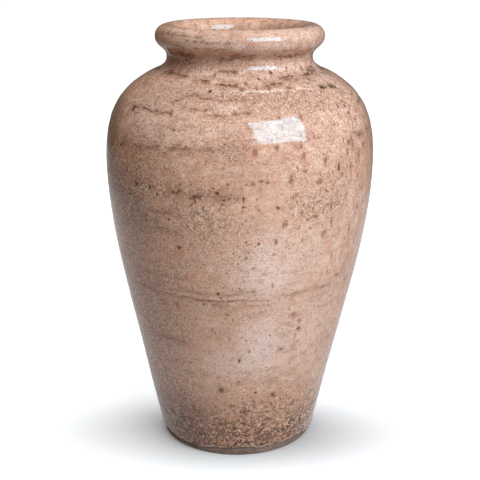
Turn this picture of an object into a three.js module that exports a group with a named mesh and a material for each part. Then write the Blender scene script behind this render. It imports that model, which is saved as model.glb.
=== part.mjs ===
// A tall glazed stoneware vase with high shoulders, a short neck and a rolled rim.
// It is made as a potter builds a large pot: a turned base disc, five thrown wall rings, a neck collar and a
// rolled rim are luted on top of each other with stepped lap joints. A thick outer glaze runs from just above
// the bare foot, over the rim and down the throat, where the lining glaze of the inside takes over.
// Millimetres, +Z up. The origin is the centre of the foot, on the table.
import * as THREE from "three";

// Outline of the glazed outside, from the table up. Each rise starts at the station below it.
const FOOT_RADIUS = 66;
const CONE_RISE = 99; // straight lower wall
const CONE_TOP_RADIUS = 87.5;
const BELLY_RISE = 143.5; // to the widest place
const BELLY_RADIUS = 109.7;
const SHOULDER_RISE = 64.5; // to where the shoulder starts to hollow
const SHOULDER_RADIUS = 82;
const SHOULDER_SLOPE = 34; // degrees above level
const WAIST_RISE = 17.7; // to the narrowest place of the neck
const WAIST_RADIUS = 58.7;
const RIM_RISE = 16.2; // to the widest place of the rolled rim
const RIM_RADIUS = 67.9;
const CREST_RISE = 9.1; // to the top of the rim
const CREST_RADIUS = 58.7;
const LIP_DEPTH = 11; // how far the inner lip rounds down into the throat

// How far each curve keeps its direction at its lower and its upper end, as a share of its own chord.
const BELLY_FULLNESS = [0.25, 0.36];
const SHOULDER_FULLNESS = [0.46, 0.34];
const NECK_FULLNESS = [0.55, 0.3];
const UNDERCUT_FULLNESS = [0.43, 0.47];
const ROLL_FULLNESS = [0.46, 0.28];
const LIP_FULLNESS = [0.35, 0.5];

// Thicknesses, and the bond line that parts the glaze from the clay.
const CLAY_WALL = 7.6;
const GLAZE = 0.8;
const BOND = 0.3;
const FLOOR_CLAY = 10;
const FLOOR_FILLET = 15;

// Foot: a turned recess leaves a bare ring that the vase stands on.
const RECESS_DEPTH = 3;
const RECESS_SLOPE = 4;
const FOOT_RING_WIDTH = 10;
const EDGE_BREAK = 0.6;
const BARE_BAND = 7; // clay left without glaze above the table

// Luted joints: the lower piece has a tongue on its inner side, and the upper one a matching rebate.
const BASE_LAP = 7; // tongue height above the floor
const WALL_LAP = 5; // tongue height above the seam
const NECK_LAP = 3;
const SLIP = 0.3; // clearance that the slip fills around a tongue
const LOWER_WALL_HEIGHT = 102;
const MIDDLE_WALL_HEIGHT = 43;
const BELLY_SEAM_DROP = 5; // below the widest place
const SHOULDER_SEAM_RISE = 49.5; // above the widest place
const NECK_SEAM_DROP = 11.7; // below the waist
const RIM_SEAM_RISE = 7.3; // above the waist

// Facets, and the distance under which two heights on a line count as one.
const ROUND_STEPS = 48;
const WALL_STEPS = 7;
const NECK_STEPS = 5;
const ROLL_STEPS = 4;
const SAME = 0.001;

const CLAY_COLOUR = 0x8a7b6c;
const GLAZE_COLOUR = 0xc09e8c;
const LINING_COLOUR = 0xa3897a;

const UP = new THREE.Vector2(0, 1);
const DOWN = new THREE.Vector2(0, -1);
const INWARD = new THREE.Vector2(-1, 0);

/** A place on the outline, as radius and height, with the direction in which the outline leaves it. */
function station(radius, height, heading) {
  return { point: new THREE.Vector2(radius, height), heading };
}

/** A smooth curve between two stations. */
function swell(from, to, [leave, arrive]) {
  const chord = from.point.distanceTo(to.point);
  return new THREE.CubicBezierCurve(
    from.point,
    from.point.clone().addScaledVector(from.heading, chord * leave),
    to.point.clone().addScaledVector(to.heading, -chord * arrive),
    to.point,
  );
}

/** Samples of a curve after its start, each with the normal that points out of the clay. */
function samples(curve, steps) {
  const found = [];
  for (let step = 1; step <= steps; step++) {
    const heading = curve.getTangent(step / steps);
    const normal = new THREE.Vector2(heading.y, -heading.x);
    found.push({ point: curve.getPoint(step / steps), normal });
  }
  return found;
}

/** The samples moved into the clay by a depth. */
function sink(line, depth) {
  return line.map(({ point, normal }) => point.clone().addScaledVector(normal, -depth));
}

/** The point at a height on a line that only rises or only falls. */
function atHeight(line, height) {
  for (let i = 1; i < line.length; i++) {
    const [a, b] = [line[i - 1], line[i]];
    if ((a.y - height) * (b.y - height) <= 0 && a.y !== b.y) {
      const found = a.clone().lerp(b, (height - a.y) / (b.y - a.y));
      found.y = height;
      return found;
    }
  }
  throw new Error("the outline doesn't reach the height " + height);
}

/** The part of a line between two heights, with exact ends, in the line's own order. */
function between(line, low, high) {
  const inside = line.filter((p) => p.y > low + SAME && p.y < high - SAME);
  const ends = [atHeight(line, low), atHeight(line, high)];
  const rises = line[line.length - 1].y > line[0].y;
  return rises ? [ends[0], ...inside, ends[1]] : [ends[1], ...inside, ends[0]];
}

// Stations of the visible outside.
const coneHeading = new THREE.Vector2(CONE_TOP_RADIUS - FOOT_RADIUS, CONE_RISE).normalize();
const shoulderAngle = THREE.MathUtils.degToRad(SHOULDER_SLOPE);
const shoulderHeading = new THREE.Vector2(-Math.cos(shoulderAngle), Math.sin(shoulderAngle));
const bellyHeight = CONE_RISE + BELLY_RISE;
const waistHeight = bellyHeight + SHOULDER_RISE + WAIST_RISE;
const crestHeight = waistHeight + RIM_RISE + CREST_RISE;
const wallThickness = CLAY_WALL + 2 * (GLAZE + BOND);
const throatRadius = WAIST_RADIUS - wallThickness;
const glazeSeam = { point: new THREE.Vector2(throatRadius, waistHeight), normal: INWARD };

const foot = station(FOOT_RADIUS, 0, coneHeading);
const coneTop = station(CONE_TOP_RADIUS, CONE_RISE, coneHeading);
const belly = station(BELLY_RADIUS, bellyHeight, UP);
const shoulder = station(SHOULDER_RADIUS, bellyHeight + SHOULDER_RISE, shoulderHeading);
const waist = station(WAIST_RADIUS, waistHeight, UP);
const rim = station(RIM_RADIUS, waistHeight + RIM_RISE, UP);
const crest = station(CREST_RADIUS, crestHeight, INWARD);
const throat = station(throatRadius, crestHeight - LIP_DEPTH, DOWN);

// Heights that the pieces share.
const clayDepth = GLAZE + BOND;
const clayFloor = RECESS_DEPTH + FLOOR_CLAY;
const floorTop = clayFloor + clayDepth;
const lowerSeam = BARE_BAND + LOWER_WALL_HEIGHT;
const middleSeam = lowerSeam + MIDDLE_WALL_HEIGHT;
const bellySeam = bellyHeight - BELLY_SEAM_DROP;
const shoulderSeam = bellyHeight + SHOULDER_SEAM_RISE;
const neckSeam = waistHeight - NECK_SEAM_DROP;
const rimSeam = waistHeight + RIM_SEAM_RISE;

/** The glazed outside, up to the crest. It starts below the table, so that the bare foot can follow it. */
function outerSkin() {
  const cone = (along) => foot.point.clone().addScaledVector(coneHeading, along);
  const normal = new THREE.Vector2(coneHeading.y, -coneHeading.x);
  const line = [-RECESS_DEPTH, BARE_BAND + BOND].map((along) => ({ point: cone(along), normal }));
  line.push(
    ...samples(new THREE.LineCurve(foot.point, coneTop.point), 1),
    ...samples(swell(coneTop, belly, BELLY_FULLNESS), WALL_STEPS),
    ...samples(swell(belly, shoulder, SHOULDER_FULLNESS), WALL_STEPS),
    ...samples(swell(shoulder, waist, NECK_FULLNESS), NECK_STEPS),
    ...samples(swell(waist, rim, UNDERCUT_FULLNESS), NECK_STEPS),
    ...samples(swell(rim, crest, ROLL_FULLNESS), ROLL_STEPS),
  );
  return line;
}

/** The lining, from the glaze seam to the middle of the floor. It follows the outside, a wall away. */
function liningSkin(outside) {
  const inner = (sample) => ({
    point: sample.point.clone().addScaledVector(sample.normal, -wallThickness),
    normal: sample.normal.clone().negate(),
  });
  const wall = outside
    .filter(({ point }) => point.y < waistHeight && point.y >= CONE_RISE)
    .map(inner)
    .reverse();
  const coneEnd = wall[wall.length - 1].point;
  const corner = coneEnd.clone().addScaledVector(coneHeading, (floorTop - coneEnd.y) / coneHeading.y);
  const filletTop = corner.clone().addScaledVector(coneHeading, FLOOR_FILLET);
  const filletEnd = corner.clone().addScaledVector(INWARD, FLOOR_FILLET);
  return [
    glazeSeam,
    ...wall,
    ...samples(new THREE.LineCurve(coneEnd, filletTop), 1),
    ...samples(new THREE.QuadraticBezierCurve(filletTop, corner, filletEnd), ROLL_STEPS),
    ...samples(new THREE.LineCurve(filletEnd, new THREE.Vector2(0, floorTop)), 1),
  ];
}

/** A closed outline turned round the upright axis. */
function turned(outline) {
  return new THREE.LatheGeometry(outline, ROUND_STEPS).rotateX(Math.PI / 2);
}

/** A skin of glaze: the visible line and the same line one thickness deeper. It can end on the axis. */
function coat(line) {
  const visible = sink(line, 0);
  const bonded = sink(line, GLAZE).reverse();
  const closing = bonded[0].x > 0 ? [bonded[0]] : [];
  return turned([...bonded, ...visible, ...closing]);
}

/** A luted joint: its height outside, the top of its tongue, and the radius where the wall is stepped. */
function joint(height, top) {
  const radius = (atHeight(clayOutside, height).x + atHeight(clayInside, top).x) / 2;
  return { height, top, radius };
}

/** The side of a joint that the piece below it has, from the outside of the wall to the top of the tongue. */
function tongue({ height, top, radius }) {
  return [new THREE.Vector2(radius - SLIP, height), new THREE.Vector2(radius - SLIP, top)];
}

/** The side of a joint that the piece above it has, from the inside of the wall to its foot. */
function rebate({ height, top, radius }) {
  return [new THREE.Vector2(radius, top + SLIP), new THREE.Vector2(radius, height)];
}

/** A thrown ring of wall between two joints. */
function ring(lower, upper) {
  const outer = between(clayOutside, lower.height, upper.height);
  const inner = between(clayInside, lower.top + SLIP, upper.top);
  return turned([...outer, ...tongue(upper), ...inner, ...rebate(lower), outer[0]]);
}

/** The rolled rim on top of its joint. */
function rimRoll(lower) {
  const outer = between(clayOutside, lower.height, clayCrest);
  const inner = between(clayInside, lower.top + SLIP, clayCrest).slice(1);
  return turned([...outer, ...inner, ...rebate(lower), outer[0]]);
}

/** The base: a recessed underside, the bare foot ring, the tongue of the first joint, and the floor. */
function baseDisc(upper) {
  const outer = between(clayOutside, EDGE_BREAK, upper.height);
  const ringRadius = outer[0].x - EDGE_BREAK;
  const recessRadius = ringRadius - FOOT_RING_WIDTH;
  const fillet = clayInside.filter((p) => p.y < upper.top - SAME);
  return turned([
    new THREE.Vector2(0, RECESS_DEPTH),
    new THREE.Vector2(recessRadius - RECESS_SLOPE, RECESS_DEPTH),
    new THREE.Vector2(recessRadius, 0),
    new THREE.Vector2(ringRadius, 0),
    ...outer,
    ...tongue(upper),
    atHeight(clayInside, upper.top),
    ...fillet,
  ]);
}

const outside = outerSkin();
const lip = samples(swell(crest, throat, LIP_FULLNESS), ROLL_STEPS);
const lining = liningSkin(outside);
const clayOutside = sink(outside, clayDepth);
const clayInside = [...clayOutside.slice(-1), ...sink([...lip, ...lining], clayDepth)];
const clayCrest = clayOutside[clayOutside.length - 1].y;

const baseJoint = joint(BARE_BAND, clayFloor + BASE_LAP);
const lowerJoint = joint(lowerSeam, lowerSeam + WALL_LAP);
const middleJoint = joint(middleSeam, middleSeam + WALL_LAP);
const bellyJoint = joint(bellySeam, bellySeam + WALL_LAP);
const shoulderJoint = joint(shoulderSeam, shoulderSeam + WALL_LAP);
const neckJoint = joint(neckSeam, neckSeam + NECK_LAP);
const rimJoint = joint(rimSeam, rimSeam + NECK_LAP);

const clay = new THREE.MeshStandardMaterial({ color: CLAY_COLOUR, roughness: 0.85, metalness: 0 });
const glaze = new THREE.MeshStandardMaterial({ color: GLAZE_COLOUR, roughness: 0.15, metalness: 0 });
const liner = new THREE.MeshStandardMaterial({ color: LINING_COLOUR, roughness: 0.3, metalness: 0 });

const vase = new THREE.Group();

/** Adds one named piece to the vase. */
function add(name, geometry, material) {
  const mesh = new THREE.Mesh(geometry, material);
  mesh.name = name;
  vase.add(mesh);
}

add("base_disc", baseDisc(baseJoint), clay);
add("lower_wall", ring(baseJoint, lowerJoint), clay);
add("middle_wall", ring(lowerJoint, middleJoint), clay);
add("belly_wall", ring(middleJoint, bellyJoint), clay);
add("shoulder_wall", ring(bellyJoint, shoulderJoint), clay);
add("upper_shoulder", ring(shoulderJoint, neckJoint), clay);
add("neck_collar", ring(neckJoint, rimJoint), clay);
add("rim_roll", rimRoll(rimJoint), clay);
add("outer_glaze", coat([...outside.slice(1), ...lip, glazeSeam]), glaze);
add("lining_glaze", coat(lining), liner);

export default vase;
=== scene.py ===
"""The dressed model of a tall glazed stoneware vase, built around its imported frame.

Lengths that the classes hold are millimetres, and become metres when a mesh is made. An azimuth is in degrees
round the vase: 0 faces the camera and it grows to the camera's right.
"""
from __future__ import annotations

import logging
import math
import random
from dataclasses import dataclass
from enum import Enum

import bpy
import numpy as np
from mathutils import Matrix, Quaternion, Vector, noise


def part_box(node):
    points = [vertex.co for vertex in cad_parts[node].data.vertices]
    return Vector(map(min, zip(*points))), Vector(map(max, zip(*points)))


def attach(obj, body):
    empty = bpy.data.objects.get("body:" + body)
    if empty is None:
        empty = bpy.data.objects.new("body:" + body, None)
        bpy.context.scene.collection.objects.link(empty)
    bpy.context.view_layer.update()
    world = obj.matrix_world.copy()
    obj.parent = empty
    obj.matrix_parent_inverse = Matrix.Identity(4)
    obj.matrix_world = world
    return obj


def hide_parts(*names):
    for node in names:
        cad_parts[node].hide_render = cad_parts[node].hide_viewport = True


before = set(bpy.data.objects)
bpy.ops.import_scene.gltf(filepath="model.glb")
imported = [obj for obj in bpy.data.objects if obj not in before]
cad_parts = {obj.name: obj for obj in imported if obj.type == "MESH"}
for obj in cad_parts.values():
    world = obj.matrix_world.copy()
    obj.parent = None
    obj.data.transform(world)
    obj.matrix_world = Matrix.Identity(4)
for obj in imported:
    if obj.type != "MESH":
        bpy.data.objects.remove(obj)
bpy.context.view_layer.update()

MM = 0.001
FULL_TURN = 2 * math.pi
BODY = "root"
# Points closer together than this, in metres, are one point.
WELD_DISTANCE = 0.00001

Pair = tuple[float, float]
Triple = tuple[float, float, float]
Light = tuple[float, float, float, float]
Socket = bpy.types.NodeSocket

logger = logging.getLogger("vase")


# How a finish is written

@dataclass(frozen=True)
class Tone:
    """A colour as it looks on screen, each part from 0 to 255."""

    red: float
    green: float
    blue: float

    def light(self) -> Light:
        """Returns the colour in the linear light that shaders use."""
        parts = [self.red / 255, self.green / 255, self.blue / 255]
        linear = [p / 12.92 if p <= 0.04045 else ((p + 0.055) / 1.055) ** 2.4 for p in parts]
        return (*linear, 1.0)


class Value:
    """A number that changes over a surface. Python expressions on it add the Math nodes that work it out."""

    def __init__(self, recipe: Recipe, socket: Socket) -> None:
        """Keeps the output socket and the recipe that it belongs to."""
        self.recipe = recipe
        self.socket = socket

    def __add__(self, other: Number) -> Value:
        """Sum."""
        return self.recipe.math("ADD", self, other)

    def __radd__(self, other: Number) -> Value:
        """Sum with a plain number in front."""
        return self.recipe.math("ADD", other, self)

    def __sub__(self, other: Number) -> Value:
        """Difference."""
        return self.recipe.math("SUBTRACT", self, other)

    def __rsub__(self, other: Number) -> Value:
        """Difference from a plain number."""
        return self.recipe.math("SUBTRACT", other, self)

    def __mul__(self, other: Number) -> Value:
        """Product."""
        return self.recipe.math("MULTIPLY", self, other)

    def __rmul__(self, other: Number) -> Value:
        """Product with a plain number in front."""
        return self.recipe.math("MULTIPLY", other, self)

    def __truediv__(self, other: Number) -> Value:
        """Quotient."""
        return self.recipe.math("DIVIDE", self, other)

    def root(self) -> Value:
        """Square root."""
        return self.recipe.math("SQRT", self)

    def cosine(self) -> Value:
        """Cosine of an angle in radians."""
        return self.recipe.math("COSINE", self)

    def __abs__(self) -> Value:
        """Size without its sign."""
        return self.recipe.math("ABSOLUTE", self)

    def most(self, other: Number) -> Value:
        """The larger of the two."""
        return self.recipe.math("MAXIMUM", self, other)

    def least(self, other: Number) -> Value:
        """The smaller of the two."""
        return self.recipe.math("MINIMUM", self, other)

    def ease(self, low: float, high: float) -> Value:
        """Goes smoothly from 0 at low to 1 at high, or from 1 to 0 where high is below low."""
        made = self.recipe.node(
            "ShaderNodeMapRange",
            {"interpolation_type": "SMOOTHSTEP"},
            {"Value": self, "From Min": low, "From Max": high},
        )
        return self.recipe.value(made.outputs["Result"])


Number = Value | float
Colour = Socket | Tone | Light


class Recipe:
    """The node tree of one material, or of the world, while it is written."""

    def __init__(self, tree: bpy.types.NodeTree) -> None:
        """Empties the tree."""
        self.tree = tree
        self.tree.nodes.clear()

    def node(self, kind: str, settings: dict[str, object], sockets: dict[object, object]) -> bpy.types.Node:
        """Adds any node.

        Args:
            kind: The node's type.
            settings: Its own properties.
            sockets: The value, tone or link of each input, by name or number.

        Returns:
            The node.
        """
        made = self.tree.nodes.new(kind)
        for name, setting in settings.items():
            setattr(made, name, setting)
        for name, given in sockets.items():
            socket = made.inputs[name]
            if isinstance(given, Value):
                self.tree.links.new(given.socket, socket)
            elif isinstance(given, Socket):
                self.tree.links.new(given, socket)
            elif isinstance(given, Tone):
                socket.default_value = given.light()
            else:
                socket.default_value = given
        return made

    def value(self, socket: Socket) -> Value:
        """Wraps an output so that it can stand in an expression."""
        return Value(self, socket)

    def math(self, operation: str, *terms: Number) -> Value:
        """Adds one Math node.

        Args:
            operation: The Math node's operation.
            terms: Its inputs in order, values or plain numbers.

        Returns:
            The node's result.
        """
        made = self.node("ShaderNodeMath", {"operation": operation}, dict(enumerate(terms)))
        return self.value(made.outputs[0])

    def place(self) -> Socket:
        """Returns the Object coordinates."""
        return self.node("ShaderNodeTexCoord", {}, {}).outputs["Object"]

    def scaled(self, vector: Socket, scale: Triple) -> Socket:
        """Multiplies a vector part by part."""
        return self.node("ShaderNodeVectorMath", {"operation": "MULTIPLY"}, {0: vector, 1: scale}).outputs[0]

    def squeezed(self, vector: Socket, scale: float) -> Socket:
        """Multiplies the height alone, which flattens or draws out what is read there."""
        return self.scaled(vector, (1.0, 1.0, scale))

    def shifted(self, vector: Socket, by: Triple) -> Socket:
        """Moves a vector."""
        return self.node("ShaderNodeVectorMath", {"operation": "ADD"}, {0: vector, 1: by}).outputs[0]

    def length(self, vector: Socket) -> Value:
        """How long a vector is."""
        made = self.node("ShaderNodeVectorMath", {"operation": "LENGTH"}, {0: vector})
        return self.value(made.outputs["Value"])

    def cloud(self, vector: Socket, size: float, detail: float = 2.0, rough: float = 0.5) -> Value:
        """Soft noise.

        Args:
            vector: Where it is read, in metres.
            size: The size of its patches, in millimetres.
            detail: How many finer layers it has.
            rough: How strong the finer layers are.

        Returns:
            Noise from 0 to 1, most of it near 0.5.
        """
        made = self.node(
            "ShaderNodeTexNoise",
            {"noise_dimensions": "3D"},
            {"Vector": vector, "Scale": 1 / (size * MM), "Detail": detail, "Roughness": rough},
        )
        return self.value(made.outputs["Fac"])

    def cells(self, vector: Socket, size: float) -> bpy.types.Node:
        """Voronoi cells of a size in millimetres."""
        scale = 1 / (size * MM)
        return self.node("ShaderNodeTexVoronoi", {"feature": "F1"}, {"Vector": vector, "Scale": scale})

    def blend(self, share: Number, under: Colour, over: Colour) -> Socket:
        """Lays one colour over another by a share from 0 to 1."""
        return self.node("ShaderNodeMix", {"data_type": "RGBA"}, {0: share, 6: under, 7: over}).outputs[2]

    def attribute(self, name: str, output: str = "Vector") -> Socket:
        """Reads an attribute that the mesh carries."""
        settings = {"attribute_type": "GEOMETRY", "attribute_name": name}
        return self.node("ShaderNodeAttribute", settings, {}).outputs[output]

    def split(self, vector: Socket) -> tuple[Value, Value, Value]:
        """Takes a vector apart into its three numbers."""
        parts = self.node("ShaderNodeSeparateXYZ", {}, {0: vector}).outputs
        return (self.value(parts[0]), self.value(parts[1]), self.value(parts[2]))

    def azimuth(self, place: Socket) -> Value:
        """Azimuth of a place, in radians."""
        across, depth, _ = self.split(place)
        return self.math("ARCTAN2", across, 0.0 - depth)

    def rays(self) -> tuple[Value, Value]:
        """Tells which rays come from the camera, and which from a mirroring or clear surface."""
        kinds = self.node("ShaderNodeLightPath", {}, {}).outputs
        mirrored = self.value(kinds["Is Glossy Ray"]).most(self.value(kinds["Is Transmission Ray"]))
        return (self.value(kinds["Is Camera Ray"]), mirrored)

    def dots(self, vector: Socket, size: float, keep: Number, spread: Number) -> Value:
        """Round dots of chance sizes, one at most in each cell.

        Args:
            vector: Where they are read, in metres.
            size: The size of a cell, in millimetres.
            keep: How lucky a cell must be, from 0 to 1, to have a dot at all.
            spread: How fast the dots grow with luck, as a share of a cell.

        Returns:
            1 inside a dot and 0 outside.
        """
        cell = self.cells(vector, size)
        luck = self.value(cell.outputs["Color"])
        near = self.value(cell.outputs["Distance"])
        return (near - (luck - keep) * spread).ease(0.06, -0.04)

    def surface(self, constants: dict[str, object], colour: Colour, roughness: Number, height: Value) -> None:
        """Ends the recipe in a Principled shader.

        Args:
            constants: The shader's sockets that are the same all over.
            colour: The base colour.
            roughness: How matt the surface is.
            height: The fine relief in millimetres.
        """
        bump = self.node("ShaderNodeBump", {}, {"Strength": 1.0, "Distance": MM, "Height": height})
        links = {"Base Color": colour, "Roughness": roughness, "Normal": bump.outputs["Normal"]}
        shader = self.node("ShaderNodeBsdfPrincipled", {}, {**constants, **links})
        self.node("ShaderNodeOutputMaterial", {}, {"Surface": shader.outputs[0]})


def new_recipe(name: str) -> tuple[bpy.types.Material, Recipe]:
    """Makes an empty material and the recipe that fills it."""
    material = bpy.data.materials.new(name)
    material.use_nodes = True
    return material, Recipe(material.node_tree)


# Marks that the potter and the kiln left on the outside, and some painted light and shade among them

@dataclass(frozen=True)
class ThrowingLine:
    """A ring line, or a part of one, left by a finger, a rib or a luted joint, or dark in the crevice under
    the rim, where it is partly painted shade.

    Attributes:
        height: Height of its middle.
        middle: Azimuth of its middle.
        reach: How far it runs to each side, in degrees.
        width: Half its width.
        depth: How far it is pressed in. A raised line has a negative depth.
        stain: How strongly dark glaze has gathered in it; under the rim partly painted shade. A pale line has
            a negative stain: milky glaze with a painted highlight along its ridge.
        tilt: How much it rises in 10 degrees.
        breaks: How broken the stain is, from 0 to 1.
    """

    height: float
    middle: float
    reach: float
    width: float
    depth: float
    stain: float
    tilt: float = 0.0
    breaks: float = 0.5


@dataclass(frozen=True)
class SpotLook:
    """How a kind of spot looks: its colour, how well it covers, and if it lies softly under the others."""

    tone: Tone
    strength: float
    soft: bool = False


class SpotKind(Enum):
    """What made a spot."""

    PIT = SpotLook(Tone(60, 46, 38), 0.90)
    IRON = SpotLook(Tone(88, 48, 30), 0.85)
    SMUDGE = SpotLook(Tone(122, 79, 58), 0.64)
    RUST = SpotLook(Tone(150, 92, 66), 0.70)
    PEACH = SpotLook(Tone(196, 134, 100), 0.85, soft=True)
    BLUSH = SpotLook(Tone(208, 150, 120), 0.45, soft=True)
    HALO = SpotLook(Tone(150, 122, 94), 0.55, soft=True)
    PALE = SpotLook(Tone(236, 218, 208), 0.60, soft=True)


@dataclass(frozen=True)
class Spot:
    """One spot: where it is, half its width and height, what made it, and how far it is sunk in."""

    azimuth: float
    height: float
    wide: float
    tall: float
    kind: SpotKind
    depth: float = 0.0


@dataclass(frozen=True)
class Drift:
    """A broad soft patch of another colour, mostly where the glaze fired so; some are painted light and some
    painted shade.

    Attributes:
        azimuth: Azimuth of its middle.
        height: Height of its middle.
        wide: Half its width, in degrees.
        tall: Half its height.
        tone: Its colour.
        strength: How much of that colour it takes at its middle.
        speckled: How much more brown speckle lies in it.
        full: How far out it keeps its full strength, as a share of its size.
    """

    azimuth: float
    height: float
    wide: float
    tall: float
    tone: Tone
    strength: float
    speckled: float = 0.0
    full: float = 0.1


THROWING_LINES = (
    ThrowingLine(345.0, -42, 26, 0.9, 0.05, 0.35, breaks=0.44),
    ThrowingLine(341.5, -18, 16, 0.8, 0.05, 0.40, breaks=0.44),
    ThrowingLine(337.0, -30, 24, 0.7, 0.05, 0.30, breaks=0.44),
    # Dark glaze pooled in the crevice under the rim roll, partly painted shade; these five have no groove.
    ThrowingLine(330.0, -2, 15, 2.2, 0.0, 0.52, breaks=0.42),
    ThrowingLine(329.0, -52, 22, 2.8, 0.0, 0.60, breaks=0.42),
    ThrowingLine(329.5, 38, 22, 1.6, 0.0, 0.60, breaks=0.46),
    ThrowingLine(330.0, 115, 50, 2.2, 0.0, 0.70, breaks=0.45),
    ThrowingLine(330.0, -125, 50, 2.2, 0.0, 0.70, breaks=0.45),
    ThrowingLine(319.8, -9, 7, 0.8, 0.15, 0.60, breaks=0.4),
    ThrowingLine(315.6, -50, 15, 1.1, 0.40, 0.75, breaks=0.38),
    ThrowingLine(313.6, -24, 6, 0.9, 0.35, 0.75, breaks=0.4),
    ThrowingLine(312.2, -7, 7, 0.9, 0.35, 0.80, tilt=-1.0, breaks=0.38),
    ThrowingLine(311.4, 20, 7, 1.0, 0.35, 0.70, breaks=0.45),
    ThrowingLine(315.8, 47, 22, 1.2, 0.40, 0.70, tilt=1.0, breaks=0.45),
    ThrowingLine(314.8, 120, 50, 1.1, 0.40, 0.70, breaks=0.5),
    ThrowingLine(315.6, -125, 55, 1.1, 0.40, 0.70, breaks=0.5),
    # Pale raised line: milky glaze and a painted highlight along the ridge.
    ThrowingLine(307.4, 22, 28, 0.7, -0.30, -0.60, breaks=0.38),
    ThrowingLine(302.4, -29, 5, 0.8, 0.20, 0.55, tilt=7.0, breaks=0.35),
    ThrowingLine(303.2, -9, 19, 0.8, 0.25, 0.55, tilt=-0.9, breaks=0.4),
    ThrowingLine(296.6, -20, 9, 0.7, 0.12, 0.35, breaks=0.5),
    ThrowingLine(292.2, -44, 14, 0.75, 0.25, 0.62, breaks=0.42),
    ThrowingLine(293.6, -5, 12, 0.8, 0.15, 0.40, breaks=0.52),
    ThrowingLine(292.5, 130, 70, 1.0, 0.30, 0.60, breaks=0.5),
    ThrowingLine(283.0, -31, 8, 0.8, 0.08, 0.30, breaks=0.52),
    ThrowingLine(267.5, -33, 28, 2.4, 0.10, 0.38, tilt=1.1, breaks=0.47),
    ThrowingLine(272.5, 60, 14, 1.6, 0.08, 0.35, breaks=0.5),
    ThrowingLine(236.4, -15, 17, 2.2, 0.22, 0.60, breaks=0.52),
    ThrowingLine(237.0, 150, 80, 1.8, 0.22, 0.50, breaks=0.52),
    ThrowingLine(220.0, -31, 9, 1.6, 0.08, 0.40, breaks=0.5),
    ThrowingLine(212.5, -41, 8, 2.4, 0.08, 0.50, breaks=0.48),
    ThrowingLine(205.0, -35, 14, 2.0, 0.08, 0.30, breaks=0.5),
    # The next two are pale raised lines: milky glaze and a painted highlight along each ridge.
    ThrowingLine(205.0, 15, 10, 0.9, -0.18, -0.40, breaks=0.48),
    ThrowingLine(163.5, -25, 16, 0.8, -0.10, -0.30, breaks=0.48),
    ThrowingLine(166.4, -40, 18, 0.8, 0.05, 0.25, breaks=0.48),
    ThrowingLine(156.2, -18, 30, 0.7, 0.10, 0.32, breaks=0.46),
    # Pale raised line between two grooves: milky glaze and a painted highlight.
    ThrowingLine(153.4, -16, 20, 0.7, -0.08, -0.30, breaks=0.46),
    ThrowingLine(151.0, -24, 38, 0.8, 0.14, 0.45, breaks=0.45),
    ThrowingLine(146.5, 4, 16, 0.7, 0.05, 0.22, breaks=0.5),
    ThrowingLine(158.6, 2, 6, 1.1, 0.08, 0.35, breaks=0.45),
    ThrowingLine(154.0, 32, 16, 1.0, 0.12, 0.38, tilt=0.9, breaks=0.47),
    ThrowingLine(151.8, 140, 90, 0.9, 0.35, 0.50, breaks=0.48),
    ThrowingLine(108.5, -38, 12, 1.6, 0.15, 0.40, breaks=0.5),
    ThrowingLine(109.0, 150, 70, 1.2, 0.15, 0.40, breaks=0.52),
)


def spots_of(kind: SpotKind, *places: tuple[float, ...]) -> list[Spot]:
    """Spots of one kind.

    Args:
        kind: What made them.
        places: Azimuth, height, half the width and half the height of each, and the depth of a sunk one.

    Returns:
        The spots.
    """
    return [Spot(*place[:4], kind, *place[4:]) for place in places]


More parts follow.
